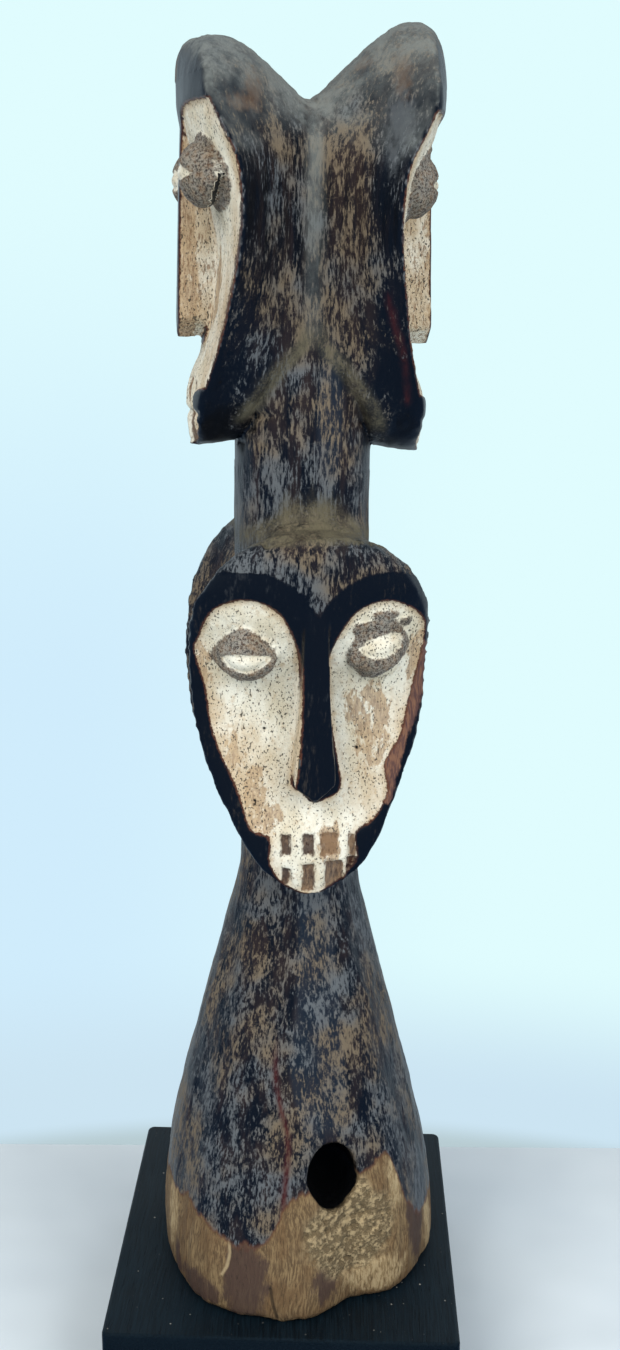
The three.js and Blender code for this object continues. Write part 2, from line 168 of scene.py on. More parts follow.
FACE_PITS = ((-9.1, 33.6, 0.5, 0.35), (-11.2, 19.3, 0.33, 0.8), (-13.5, 36.3, 0.3, 0.4), (9.3, 29.4, 0.3, 0.45),
             (-13.1, 33.8, 0.25, 0.25))

# On the skirt: degrees from the front, heights above the foot
PATINA_EDGE = ((-180, 15), (-150, 19), (-120, 14), (-90, 20), (-71, 19.6), (-58, 20.2), (-43.3, 19.9),
               (-37.1, 18.3), (-30.2, 17.2), (-21, 17.8), (-15.1, 21.6), (-11.5, 25.8), (-3.9, 29.1), (8, 29.5),
               (24.2, 29.5), (37.5, 32.4), (43, 24.8), (47.5, 18.4), (65.6, 12.4), (90, 15), (120, 20),
               (150, 14), (180, 15))
SKIRT_RIDGE = ((0, -12), (28, -10.4), (40.6, -9.5), (46.9, -13.8), (55.7, -17.4), (68, -14.2), (85.5, -13.7))
ROT = {"degrees": 17.0, "height": 18.5, "half_width": 12.0, "half_height": 11.0}
# Ovals on the bare wood: degrees, height, half width in millimetres, half height
FOOT_STAINS = ((-26, 9, 4.6, 9.5), (53, 14, 3.8, 11), (-47, 3.5, 6, 3.2), (-64, 5, 1.6, 4), (6, 8, 3.0, 5),
               (115, 8, 6, 8), (-140, 6, 7, 7), (170, 9, 5, 9))
FOOT_PALES = ((-72, 14, 2.6, 8), (67, 12, 2.2, 12), (40, 26, 1.8, 6), (30, 6, 7, 4), (100, 14, 5, 6),
              (-120, 12, 6, 5))
FOOT_CRACK = ((-16.1, 7.9), (-15.0, 4.0), (-13.4, 0.8))
FOOT_SLICE = ((-36.7, 20.8), (-33.2, 17.5), (-32.4, 14.5), (-33.2, 11.5), (-35.2, 9.2))
NECK_FACET = {"across": 3.5, "height": 187.0, "half_width": 3.1, "half_height": 17.0}
NECK_CHIP = {"across": -3.0, "height": 185.2, "half_width": 2.6, "half_height": 1.9}
CROWN_CREVICE = ((-9.5, 164.3), (-4, 166.1), (2, 166.6), (8, 166.0), (12, 164.6))
# Rubbed and stained places on the sides of the upper heads: across, height, half width, half height
BROWN_SMUDGES = ((-11.3, 244.5, 1.5, 3.2), (15.0, 247.5, 1.2, 3.8), (7.5, 250, 3.0, 1.6), (-13, 241.5, 3, 1.4))
PALE_SMUDGES = ((14.3, 239.0, 2.0, 4.6), (12.6, 233, 0.9, 2.6))
RED_LINE = ((12.6, 209), (14.2, 204), (16.0, 199.8), (17.2, 195), (18.2, 190))


# Numbers and curves


def mix(a, b, share):
    return a + (b - a) * share


def clamp(values, low=0.0, high=1.0):
    return np.clip(values, low, high)


def ease(values, low, high):
    """0 below low, 1 above high, smooth between."""
    share = clamp((values - low) / (high - low))
    return share * share * (3 - 2 * share)


def curve(stops):
    """A smooth curve through a few (place, value) stops, for arrays."""
    places, values = np.array(stops, float).T
    before = np.r_[0, np.arange(len(places) - 1)]
    after = np.r_[np.arange(1, len(places)), len(places) - 1]
    slopes = (values[after] - values[before]) / (places[after] - places[before])

    def at(place):
        place = np.clip(np.asarray(place, float), places[0], places[-1])
        i = np.clip(np.searchsorted(places, place) - 1, 0, len(places) - 2)
        step = places[i + 1] - places[i]
        t = (place - places[i]) / step
        leave = (t**3 - 2 * t * t + t) * step * slopes[i]
        arrive = (t**3 - t * t) * step * slopes[i + 1]
        return mix(values[i], values[i + 1], t * t * (3 - 2 * t)) + leave + arrive

    return at


face_setback = curve(FACE_SETBACK)
rim_setback = curve(RIM_SETBACK)
lower_outline = curve(LOWER_OUTLINE)
skirt_radius = curve(SKIRT_RADIUS)
skirt_plan = curve(SKIRT_PLAN)
nose_half_width = curve(NOSE_HALF_WIDTHS)
patina_edge = curve(PATINA_EDGE)
skirt_ridge = curve(SKIRT_RIDGE)
nose_depth = curve(NOSE_DEPTH)
chamfer_right = curve(CHAMFER_RIGHT)


def scatter(cells, seed):
    """A number from -1 to 1 for each whole-numbered cell, always the same one."""
    mixed = cells[:, 0] * 73856093 ^ cells[:, 1] * 19349663 ^ cells[:, 2] * 83492791 ^ seed * 2654435761
    mixed = (mixed ^ (mixed >> 13)) * 1274126177 & 0xFFFFFFFF
    mixed = (mixed ^ (mixed >> 16)) * 668265263 & 0xFFFFFFFF
    return (mixed >> 8 & 0xFFFF) / 32767.5 - 1


def noise(points, size, seed, octaves=2):
    """Smooth noise, about -1 to 1, whose features have the given size along each axis."""
    total = np.zeros(len(points))
    strength, weight = 1.0, 0.0
    for octave in range(octaves):
        place = points / (np.asarray(size, float) / 2**octave)
        cell = np.floor(place).astype(np.int64)
        part = place - cell
        part = part**3 * (part * (part * 6 - 15) + 10)
        value = np.zeros(len(points))
        for corner in itertools.product((0, 1), repeat=3):
            share = np.prod(np.where(corner, part, 1 - part), axis=1)
            value += share * scatter(cell + corner, seed + 17 * octave)
        total += value * strength
        weight += strength
        strength *= 0.5
    return total / weight * 1.6


def closed_curve(points, steps=4):
    """A closed smooth curve through points of the plane."""
    p1 = np.array(points, float)
    p0, p2, p3 = np.roll(p1, 1, 0), np.roll(p1, -1, 0), np.roll(p1, -2, 0)
    made = []
    for step in range(steps):
        t = step / steps
        made.append(0.5 * (2 * p1 + (p2 - p0) * t + (2 * p0 - 5 * p1 + 4 * p2 - p3) * t * t
                           + (3 * p1 - p0 - 3 * p2 + p3) * t**3))
    return np.stack(made, 1).reshape(-1, 2)


def path_distance(across, height, path):
    """Distance in the plane to a path of straight pieces."""
    best = np.full(len(across), 1e9)
    for (ax, ay), (bx, by) in zip(path[:-1], path[1:]):
        dx, dy = bx - ax, by - ay
        along = clamp(((across - ax) * dx + (height - ay) * dy) / max(dx * dx + dy * dy, 1e-9))
        best = np.minimum(best, (across - ax - along * dx) ** 2 + (height - ay - along * dy) ** 2)
    return np.sqrt(best)


def inside_by(across, height, outline):
    """Distance to a closed outline: more than 0 inside it."""
    inside = np.zeros(len(across), bool)
    for (ax, ay), (bx, by) in zip(outline, np.roll(outline, -1, 0)):
        if by != ay:
            crosses = ((ay > height) != (by > height)) & (across < ax + (height - ay) / (by - ay) * (bx - ax))
            inside ^= crosses
    closed = np.vstack([outline, outline[:1]])
    return np.where(inside, 1, -1) * path_distance(across, height, closed)


def in_oval(across, height, oval_across, oval_height, half_width, half_height):
    """Roughly how far inside an oval a point is, in millimetres."""
    reach = np.hypot((across - oval_across) / half_width, (height - oval_height) / half_height)
    return (1 - reach) * min(half_width, half_height)


# The forms of a mask


def arch(mask, height, top):
    up = clamp((height - mask["shoulder"]) / (top + 0.1 - mask["shoulder"]))
    return np.sqrt(1 - up * up)


def outline(mask, height):
    return lower_outline(height) * mask["width"] * arch(mask, height, mask["crown"])


def face_depth(mask, share, height):
    """Depth of the face, without nose and eyes, at a share of the half width."""
    bulge = (mask["forehead"] * clamp((height - FOREHEAD[0]) / FOREHEAD[1])
             + mask["jaw"] * clamp((JAW[0] - height) / JAW[1]))
    middle = MASK_REACH + bulge - face_setback(height)
    rim = MASK_REACH + bulge / 2 - rim_setback(height)
    fullness = 1 + CHEEK_FULLNESS * clamp(np.abs(height - CHEEK_MIDDLE) / CHEEK_OVER)
    depth = mix(middle, rim, clamp(share) ** fullness)
    up = clamp((height - BROW) / (mask["crown"] - BROW))
    roll_back = 1 - (1 - up ** mask["roundness"]) ** (1 / mask["roundness"])
    return mix(depth, mask["peak"], roll_back)


def crest(mask, depth):
    share = clamp(depth / mask["peak"])
    return mix(mask["notch"], mask["crown"], np.sin(share**CREST_POWER * math.pi / 2))


def gable_half_width(height):
    """Half the neck's width between the two masks at a height above their chins."""
    return mix(NECK["half_depth"] - OVERLAP, -OVERLAP, clamp(height / GABLE) ** GABLE_POWER)


def back_depth(mask, height):
    up = clamp((height - mask["notch"]) / (mask["crown"] - mask["notch"]))
    behind_crown = mask["peak"] * (np.arcsin(up) / (math.pi / 2)) ** (1 / CREST_POWER)
    return np.where(height > mask["notch"], behind_crown, gable_half_width(height))


def side_width(mask, depth, height):
    rim_depth = face_depth(mask, 1.0, height) - RIM_EDGE
    seam = np.minimum(SEAM_HALF_WIDTH, lower_outline(height))
    towards_rim = clamp(depth / np.maximum(rim_depth, 1))
    past_seam = SEAM_TAPER * clamp(-depth / OVERLAP)
    half = mix(seam, lower_outline(height) * mask["width"], towards_rim**HOLLOW_POWER) - past_seam
    return half * arch(mask, height, crest(mask, depth))


def mask_points(mask):
    """Places a point of the mask's body by its share of the way round and down."""
    front_end, side_end = 0.5, 0.94

    def place(around, down):
        eased = mix(down, 0.5 - 0.5 * np.cos(math.pi * down), 0.72)
        height = mix(mask["crown"] - 0.05, 0.0, eased)
        half_turn = np.minimum(around, 1 - around) * 2
        share = clamp(half_turn / front_end)
        half_width = outline(mask, height)
        chamfer = mask["chamfer"] * chamfer_right(height) * (around <= 0.5) * ease(half_width * share, 1, 9)
        rim = face_depth(mask, 1.0, height) - RIM_EDGE - chamfer
        back = np.minimum(back_depth(mask, height), rim - LEAST_BODY)
        depth = mix(rim, back, clamp((half_turn - front_end) / (side_end - front_end)))
        side = np.maximum(0.2, side_width(mask, depth, height)) * clamp((1 - half_turn) / (1 - side_end))
        front = half_turn <= front_end
        across = np.where(front, share * 0.975 * half_width, side) * np.where(around > 0.5, -1, 1)
        from_edge = half_width * (1 - 0.975 * share)
        cut = clamp(1 - from_edge / np.maximum(chamfer, 0.01)) * chamfer
        depth = np.where(front, face_depth(mask, share, height) - cut, depth)
        across = across + mask["lean"] * clamp((height - LEAN[0]) / LEAN[1])
        tuck = TUCK * (1 - depth / MASK_REACH) * clamp(1 - height / TUCK_BELOW)
        return np.stack([across, -depth, height + tuck], 1)

    return place


def neck_points(around, down):
    height = mix(NECK["top"], NECK["bottom"], down)
    squareness = 1 + NECK["squareness"] * (1 - np.cos(4 * around * TAU))
    span = NECK["top"] - NECK["closing_from"]
    closing = NECK["taper"] * clamp((height - NECK["closing_from"]) / span) ** 2
    across = np.sin(around * TAU) * (NECK["half_width"] - closing) * squareness
    back = -np.cos(around * TAU) * (NECK["half_depth"] - closing) * squareness
    return np.stack([across, back, height], 1)


def collar_points(around, down):
    height = mix(COLLAR["top"], COLLAR["bottom"], down)
    lift = clamp((height - COLLAR["edge"]) / (COLLAR["top"] - COLLAR["edge"]))
    cove = 1 - np.sqrt(1 - (1 - lift) ** 2)
    radius = mix(NECK["half_depth"] - OVERLAP, COLLAR["reach"], cove)
    return np.stack([np.sin(around * TAU) * radius * COLLAR["squash"], -np.cos(around * TAU) * radius, height], 1)


def skirt_reach(angle, height):
    """The skirt's radius at an angle from the front and a height."""
    foot = 1 - clamp(height / SKIRT_FOOT)
    square = 0.5 * (1 - np.cos(4 * angle)) * SKIRT_SQUARE
    facet = SKIRT_FACET_DEPTH * np.cos(SKIRT_FACETS * angle + SKIRT_FACET_TURN)
    degrees = np.degrees((angle + math.pi) % TAU - math.pi)
    return skirt_radius(height) * (1 + square * foot + facet) + skirt_plan(degrees) * foot


def skirt_points(around, down):
    height = SKIRT_RADIUS[-1][0] * (1 - down) ** 1.3
    radius = skirt_reach(around * TAU, height)
    return np.stack([np.sin(around * TAU) * radius, -np.cos(around * TAU) * radius, height], 1)


# Meshes


def shell(columns, rows, place):
    """A closed shell, from a sphere whose points place() puts by their share of the way round and down."""
    body = bmesh.new()
    bmesh.ops.create_uvsphere(body, u_segments=columns, v_segments=rows, radius=1.0)
    round_points = np.array([vertex.co for vertex in body.verts])
    around = np.arctan2(round_points[:, 0], -round_points[:, 1]) / TAU % 1.0
    around = np.where(around > 1 - 0.01 / columns, 0.0, around)
    ring = np.rint(np.arccos(np.clip(round_points[:, 2], -1, 1)) / math.pi * rows)
    points = place(around, clamp((ring - 1) / (rows - 2)))
    points[ring == 0] = points[ring == 1].mean(0)
    points[ring == rows] = points[ring == rows - 1].mean(0)
    for vertex, point in zip(body.verts, points):
        vertex.co = point
    bmesh.ops.recalc_face_normals(body, faces=body.faces)
    return body


def nose_body():
    """The long wedge of the nose, with square corners and a point below."""
    body = bmesh.new()
    half = [(width, height) for height, width in NOSE_HALF_WIDTHS]
    corners = [(0, NOSE_TIP)] + half + [(-width, height) for width, height in reversed(half)]
    face = body.faces.new([body.verts.new((across, -NOSE_ROOT, height)) for across, height in corners])
    grown = bmesh.ops.extrude_face_region(body, geom=[face])
    front = [part for part in grown["geom"] if isinstance(part, bmesh.types.BMVert)]
    for vertex in front:
        vertex.co.y = -float(nose_depth(vertex.co.z))
    bmesh.ops.recalc_face_normals(body, faces=body.faces)
    return body


def eye_body(mask, side):
    """A bulging eye, its corners drawn to points, turned outward with the cheek."""
    body = bmesh.new()
    bmesh.ops.create_uvsphere(body, u_segments=48, v_segments=24, radius=1.0)
    for vertex in body.verts:
        pinch = 1 - EYE["pinch"] * vertex.co.x**2
        vertex.co.x *= EYE["width"]
        vertex.co.y *= EYE["depth"] * pinch
        vertex.co.z *= EYE["rise"] * pinch
    share = EYE["side"] / float(outline(mask, EYE["height"]))
    depth = float(face_depth(mask, share, EYE["height"])) - mask["eye_sink"]
    turn = Matrix.Rotation(side * EYE["turn"], 3, "Z")
    if side > 0:
        turn = turn @ Matrix.Rotation(-mask["eye_tilt"], 3, "Y")
    bmesh.ops.rotate(body, verts=body.verts, cent=(0, 0, 0), matrix=turn)
    bmesh.ops.translate(body, verts=body.verts, vec=(side * EYE["side"], -depth, EYE["height"]))
    return body


def hole_body():
    """The knot hole's hollow: an upright oval that narrows to a point below."""
    body = bmesh.new()
    bmesh.ops.create_uvsphere(body, u_segments=40, v_segments=28, radius=1.0)
    for vertex in body.verts:
        narrowing = 1 - HOLE["narrowing"] * vertex.co.z**2 if vertex.co.z < 0 else 1
        vertex.co.x *= HOLE["half_width"] * narrowing
        vertex.co.y *= HOLE["depth"]
        vertex.co.z *= HOLE["half_height"]
    tilt = Matrix.Rotation(-HOLE["tilt"], 3, "X")
    bmesh.ops.rotate(body, verts=body.verts, cent=(0, 0, 0), matrix=tilt)
    back = 0.5 - float(skirt_radius(HOLE["height"]))
    bmesh.ops.translate(body, verts=body.verts, vec=(HOLE["side"], back, HOLE["height"]))
    return body


def mesh_from(body, name):
    mesh = bpy.data.meshes.new(name)
    body.to_mesh(mesh)
    body.free()
    return mesh


def link(mesh, name):
    thing = bpy.data.objects.new(name, mesh)
    bpy.context.scene.collection.objects.link(thing)
    return thing


def baked(thing):
    """The object's mesh with its modifiers applied; the object itself goes."""
    graph = bpy.context.evaluated_depsgraph_get()
    mesh = bpy.data.meshes.new_from_object(thing.evaluated_get(graph))
    bpy.data.objects.remove(thing)
    return mesh


def skirt_with_hole():
    skirt = link(mesh_from(shell(160, 120, skirt_points), "skirt"), "skirt")
    hole = link(mesh_from(hole_body(), "hollow"), "hollow")
    cut = skirt.modifiers.new("hole", "BOOLEAN")
    cut.operation = "DIFFERENCE"
    cut.solver = "EXACT"
    cut.object = hole
    mesh = baked(skirt)
    bpy.data.objects.remove(hole)
    return mesh


def joined_forms(voxel):
    """All of the figure's forms as one closed skin."""
    whole = bmesh.new()
    whole.from_mesh(skirt_with_hole())
    for body in (shell(96, 60, neck_points), shell(96, 60, collar_points)):
        whole.from_mesh(mesh_from(body, "form"))
    for mask in HEADS.values():
        place = Matrix.Translation((0, 0, mask["chin"])) @ Matrix.Rotation(mask["turn"], 4, "Z")
        for body in (shell(176, 120, mask_points(mask)), nose_body(), eye_body(mask, -1), eye_body(mask, 1)):
            bmesh.ops.transform(body, matrix=place, verts=body.verts)
            whole.from_mesh(mesh_from(body, "form"))
    thing = link(mesh_from(whole, "forms"), "forms")
    skin = thing.modifiers.new("skin", "REMESH")
    skin.mode = "VOXEL"
    skin.voxel_size = voxel
    return baked(thing)


def thinned(mesh, most_triangles):
    count = len(mesh.loops) - 2 * len(mesh.polygons)
    if count <= most_triangles:
        return mesh
    thing = link(mesh, "thin")
    thin = thing.modifiers.new("thin", "DECIMATE")
    thin.ratio = most_triangles / count
    thin.use_collapse_triangulate = True
    return baked(thing)


class Surface:
    """A mesh's points and outward directions as arrays, in millimetres, in the figure's own frame."""

    def __init__(self, mesh):
        self.mesh = mesh
        self.points = np.empty(len(mesh.vertices) * 3, np.float32)
        mesh.vertices.foreach_get("co", self.points)
        self.points = self.points.reshape(-1, 3).astype(float)
        edges = np.empty(len(mesh.edges) * 2, np.int32)
        mesh.edges.foreach_get("vertices", edges)
        self.start, self.end = edges.reshape(-1, 2).T
        self.count = np.bincount(np.r_[self.start, self.end], minlength=len(self.points))
        self.read_out()

    def read_out(self):
        out = np.empty(len(self.points) * 3, np.float32)
        self.mesh.vertices.foreach_get("normal", out)
        self.out = out.reshape(-1, 3).astype(float)

    def write(self):
        self.mesh.vertices.foreach_set("co", self.points.astype(np.float32).ravel())
        self.mesh.update()
        self.read_out()

    def lift(self, amount):
        self.points += self.out * amount[:, None]
        self.write()

    def around(self, values):
        """The mean of each point's neighbours."""
        size = len(self.points)
        total = np.bincount(self.start, values[self.end], size) + np.bincount(self.end, values[self.start], size)
        return total / np.maximum(self.count, 1)

    def relax(self, weight, rounds):
        """Draws points towards their neighbours, which turns a sharp inner corner into a cove."""
        for _ in range(rounds):
            mean = np.stack([self.around(self.points[:, axis]) for axis in range(3)], 1)
            self.points += (mean - self.points) * weight[:, None]
        self.write()

    def bend(self, rounds=2):
        """How far the surface bends at each point, per millimetre: more than 0 on an outer edge."""
        step = self.points[self.end] - self.points[self.start]
        length = np.maximum((step**2).sum(1), 1e-6)
        size = len(self.points)
        falls = -(self.out[self.start] * step).sum(1) / length
        rises = (self.out[self.end] * step).sum(1) / length
        total = np.bincount(self.start, falls, size) + np.bincount(self.end, rises, size)
        bend = total / np.maximum(self.count, 1)
        for _ in range(rounds):
            bend = mix(bend, self.around(bend), 0.5)
        return bend


# Where the carved and painted zones are


def turned(points, mask):
    c, s = math.cos(mask["turn"]), math.sin(mask["turn"])
    across = points[:, 0] * c + points[:, 1] * s
    back = -points[:, 0] * s + points[:, 1] * c
    return across, -back, points[:, 2]


def mirrored(points):
    return tuple((-across, height) for across, height in points)


def whole_heart(name):
    if name == "front":
        return closed_curve(HEART_LEFT + HEART_RIGHT)
    return closed_curve(mirrored(WIDE_CHEEK) + tuple(reversed(WIDE_CHEEK))[1:-1])


def eyes_of(name):
    """The outlines of each lid and eyeball."""
    pairs = ((LID_LEFT, BALL_LEFT), (LID_RIGHT, BALL_RIGHT))
    if name != "front":
        pairs = ((mirrored(LID_SIDE), mirrored(BALL_SIDE)), (LID_SIDE, BALL_SIDE))
    return [(closed_curve(lid), closed_curve(ball)) for lid, ball in pairs]


def best_oval(across, height, ovals):
    best = np.full(len(across), -6.0)
    for oval in ovals:
        best = np.maximum(best, in_oval(across, height, *oval))
    return best


def mouth_panels(across, height):
    """How far inside a sunk panel of the mouth a point is, and how pale the panel is."""
    best, pale = np.full(len(across), -6.0), np.zeros(len(across))
    for left, right, bottom, top, tone in PANELS:
        inside = np.minimum(np.minimum(across - left, right - across), np.minimum(height - bottom, top - height))
        pale = np.where(inside > best, tone, pale)
        best = np.maximum(best, inside)
    return best, pale


FACE_ZONES = ("clay", "recess", "lid", "ball", "panel", "pit", "worn", "band")


def face_zones(surface):
    """Distances in millimetres to the edges of the masks' zones, more than 0 inside."""
    size = len(surface.points)
    zones = {name: np.full(size, -6.0) for name in FACE_ZONES}
    zones.update(facing=np.zeros(size), tone=np.zeros(size), slit=np.zeros(size), open=np.zeros(size))
    for name, mask in HEADS.items():
        across, depth, height = turned(surface.points, mask)
        height = height - mask["chin"]
        facing = turned(surface.out, mask)[1]
        on = np.nonzero((height > -3) & (height < 66) & (depth > 6) & (facing > -0.3) & (np.abs(across) < 27))[0]
        across = across[on] - mask["lean"] * clamp((height[on] - LEAN[0]) / LEAN[1])
        depth, height, facing = depth[on], height[on], facing[on]
        heart = inside_by(across, height, whole_heart(name))
        rim = depth - face_depth(mask, 1.0, np.maximum(height, 0)) + 0.45
        clay = np.minimum(heart, rim)
        ridge = nose_depth(height) - depth
        nose = np.minimum(nose_half_width(height) + 0.5 - np.abs(across), np.minimum(height - 20.4, 61 - height))
        if name != "front":
            side = np.minimum(np.minimum(ridge - 0.35, (0.8 - facing) * 3), nose)
            clay = np.maximum(clay, side)
            zones["open"][on] = ease(nose, -1.5, 0)
        zones["clay"][on] = clay
        zones["recess"][on] = np.minimum(heart, outline(mask, clamp(height, 0, 73)) - 0.6 - np.abs(across))
        for lid, ball in eyes_of(name):
            zones["lid"][on] = np.maximum(zones["lid"][on], inside_by(across, height, lid))
            zones["ball"][on] = np.maximum(zones["ball"][on], inside_by(across, height, ball))
        panel, tone = mouth_panels(across, height)
        zones["panel"][on] = np.minimum(panel, (facing - 0.2) * 6)
        zones["tone"][on] = tone
        zones["slit"][on] = mask["mouth_slit"] * np.exp(-(((height - 6.8) / 0.8) ** 2)) * ease(facing, 0.2, 0.6)
        if name == "front":
            zones["pit"][on] = best_oval(across, height, FACE_PITS)
            zones["lid"][on] = np.maximum(zones["lid"][on], best_oval(across, height, SMUDGES) - 0.25)
            zones["worn"][on] = np.minimum(best_oval(across, height, BARE_CHEEKS), 0.5)
            zones["band"][on] = inside_by(across, height, closed_curve(BROWN_BAND))
        else:
            by_ridge = np.minimum(nose + 0.4, (3.4 if name == "left" else 0.6) - ridge)
            zones["worn"][on] = np.maximum(by_ridge, best_oval(np.abs(across), height, ((7, 30, 3.0, 8.0),)) - 0.5)
        zones["facing"][on] = facing
    return zones


def wood_zones(surface):
    """Distances and shares for the neck, the seams and the skirt."""
    across, back, height = surface.points.T
    angle = np.arctan2(across, -back)
    degrees = np.degrees(angle)
    radius = np.hypot(across, back)
    arc = np.radians(degrees) * 30
    on_skirt = (height < 92) & (radius > 10)
    zones = {}
    wave = noise(surface.points, (5, 5, 7), 31, 3)
    zones["bare"] = np.where(on_skirt, patina_edge(degrees) + 1.4 * wave - height, -6)
    rot = in_oval(arc - ROT["degrees"] * math.radians(30), height, 0, ROT["height"], ROT["half_width"],
                  ROT["half_height"])
    zones["rot"] = np.where((back < 0) & (radius > 18), rot + 1.5 * wave, -6)
    for name, ovals in (("stain", FOOT_STAINS), ("pale", FOOT_PALES)):
        laid = [(math.radians(middle) * 30, *rest) for middle, *rest in ovals]
        zones[name] = np.where(on_skirt, best_oval(arc, height, laid), -6)
    crack = path_distance(arc, height, [(math.radians(a) * 30, z) for a, z in FOOT_CRACK])
    cut = path_distance(arc, height, [(math.radians(a) * 30, z) for a, z in FOOT_SLICE])
    zones["crack"] = np.where(on_skirt, crack, 9)
    zones["slice"] = np.where(on_skirt, cut, 9)
    # Depth inside the knot hole, where the finish paints shade
    zones["hole_shade"] = np.where(height < 60, skirt_reach(angle, height) - radius, 0)
    ridge = np.radians(degrees - skirt_ridge(height)) * radius
    zones["ridge_side"] = np.where((height < 90) & (np.abs(degrees) < 60), ridge, 30)
    left_edge, right_edge = skirt_ridge(height) + 5, mix(22, 27, clamp((height - 46) / 44))
    facet = np.minimum(degrees - left_edge, right_edge - degrees) * np.radians(1) * radius
    zones["facet"] = np.where((height > 36) & (height < 92) & (back < 0), np.minimum(facet, (height - 38) / 3), -6)
    neck = in_oval(across, height, NECK_FACET["across"], NECK_FACET["height"], NECK_FACET["half_width"],
                   NECK_FACET["half_height"])
    zones["neck_facet"] = np.where(back < -8, neck, -6)
    chip = np.minimum(NECK_CHIP["half_width"] - np.abs(across - NECK_CHIP["across"]),
                      NECK_CHIP["half_height"] - np.abs(height - NECK_CHIP["height"]))
    zones["chip"] = np.where(back < -8, chip, -6)

    upper = height - HEADS["left"]["chin"] + 0.6
    gable = np.abs(across) - np.maximum(gable_half_width(upper), 0)
    zones["fillet"] = (ease(-np.abs(gable * 0.72 - 0.9), -2.0, -0.5) * ease(upper, -3, 1) * (1 - ease(upper, 20, 26))
                       * ease(np.abs(back), 8, 10))
    zones["seam"] = (1 - ease(np.abs(across), 0.4, 2.6)) * ease(upper, 18, 24)
    front = HEADS["front"]
    inside_width = clamp(np.abs(across) / LOWER_OUTLINE[-1][1])
    crown_top = front["chin"] + mix(front["shoulder"], front["crown"], np.sqrt(1 - inside_width**2))
    above = height - crown_top
    reach = mix(1.5, 4.6, ease(-np.abs(across - 0.5), -10, -3))
    zones["collar"] = (ease(above, -3.0, -1.0) * (1 - ease(above, reach - 1.5, reach + 1.2)) * (radius < 23)
                       * (height > 150) * (height < 176))
    crevice = path_distance(across, height, CROWN_CREVICE)
    zones["crevice"] = np.where((back < -15) & (height > 160) & (height < 169), crevice, 9)
    zones["cove"] = np.maximum(zones["fillet"], ease(height, 163.0, 166.0) * (1 - ease(height, 171, 174))
                               * (1 - ease(radius, 16.5, 18.5)))
    # Tops that face up: grey dust, and a painted sheen that is lighter the more the surface faces up
    top = ease(surface.out[:, 2], 0.2, 0.75) * ease(height, 196, 225)
    zones["grey_dust_and_top_sheen"] = np.maximum(top, zones["seam"] * mix(0.35, 0.8, ease(height, 205, 240)))
    side = (height > 176) & (np.abs(back) > 5)
    zones["brown"] = np.where(side, best_oval(across, height, BROWN_SMUDGES), -6)
    zones["light"] = np.where(side, best_oval(across, height, PALE_SMUDGES), -6)
    zones["red_line"] = np.where(side & (back < 0), path_distance(across, height, RED_LINE), 9)
    calm = mix(0.75, 0.15, ease(np.abs(across), 7.5, 14)) * (height > 176) + 0.75 * (height <= 176)
    zones["scuff"] = np.maximum(calm, top)
    return zones


def carve(surface, sizes):
    """Cuts the masks' low relief, the knife work and the decay into the joined forms."""
    faces, wood = face_zones(surface), wood_zones(surface)
    surface.relax(0.5 * wood["cove"], 22)
    surface.relax(np.full(len(surface.points), 0.35), 2)
    on_face = ease(faces["facing"], 0.25, 0.6)
    recess = ease(faces["recess"], -0.3, 0.3) * on_face
    lid = ease(faces["lid"], -0.2, 0.6)
    ball = ease(faces["ball"], -0.15, 0.35)
    dome = clamp(faces["ball"] / 2.0) ** 0.7
    panel = ease(faces["panel"], -0.2, 0.3)
    relief = -sizes.recess_depth * recess * (1 - 0.5 * lid)
    relief += 0.3 * lid * (1 - ball) - 0.45 * ball * (1 - dome) + 0.4 * ball * dome
    relief -= sizes.tooth_depth * panel * on_face * (1 - 0.4 * faces["tone"])
    relief -= 0.5 * ease(faces["pit"], -0.15, 0.2) + faces["slit"]
    step = wood["ridge_side"]
    relief += 0.3 * np.exp(-((step / 0.9) ** 2)) - 0.25 * ease(-step, -0.5, 0.4) * ease(step, -9, -3)
    relief -= 0.22 * ease(wood["facet"], -0.4, 1.2)
    relief -= 0.4 * ease(wood["neck_facet"], -0.3, 1.0)
    relief -= 0.35 * ease(wood["chip"], -0.1, 0.4)
    relief -= 0.5 * (1 - ease(wood["crack"], 0.1, 0.6)) + 0.25 * (1 - ease(wood["slice"], 0.2, 0.7))
    relief -= 0.55 * (1 - ease(wood["crevice"], 0.1, 0.8))
    surface.lift(relief)

    points = surface.points
    smooth_cut = np.maximum(ease(wood["facet"], 0, 1), ease(wood["neck_facet"], 0, 0.6))
    clay = ease(faces["clay"], -0.2, 0.2)
    furrows = noise(points, (1.5, 1.5, 11), 3, 2)
    planes = noise(points, (6, 6, 14), 11, 2)
    fine = noise(points, (1.2, 1.2, 1.2), 23, 2)
    black_face = on_face * (1 - clay)
    calm = 1 - 0.8 * np.maximum(black_face, 0.6 * clay)
    knife = calm * (sizes.knife_depth * planes
                    + sizes.grain_depth * furrows * (1 - 0.7 * smooth_cut) * mix(0.5, 1.3, wood["scuff"]))
    rough = 0.07 * fine * clay
    rot = ease(wood["rot"], -1, 3)
    decay = noise(points, (3.2, 3.2, 2.6), 41, 3)
    pits = noise(points, (1.6, 1.6, 1.4), 43, 2)
    rough -= rot * (0.35 + 0.4 * decay + 0.5 * ease(pits, 0.2, 0.6))
    seam_cracks = ease(noise(points, (0.9, 3, 14), 51, 2), 0.25, 0.6)
    rough -= 0.35 * wood["seam"] * seam_cracks
    surface.lift(knife + rough)


ZONE_NAMES = ("clay", "lid", "panel", "tone", "pit", "worn", "band", "open", "bare", "rot", "stain", "pale",
              "crack", "slice", "hole_shade", "dust", "grey_dust_and_top_sheen", "facet", "ridge", "hollow", "red", "scuff", "brown",
              "light")


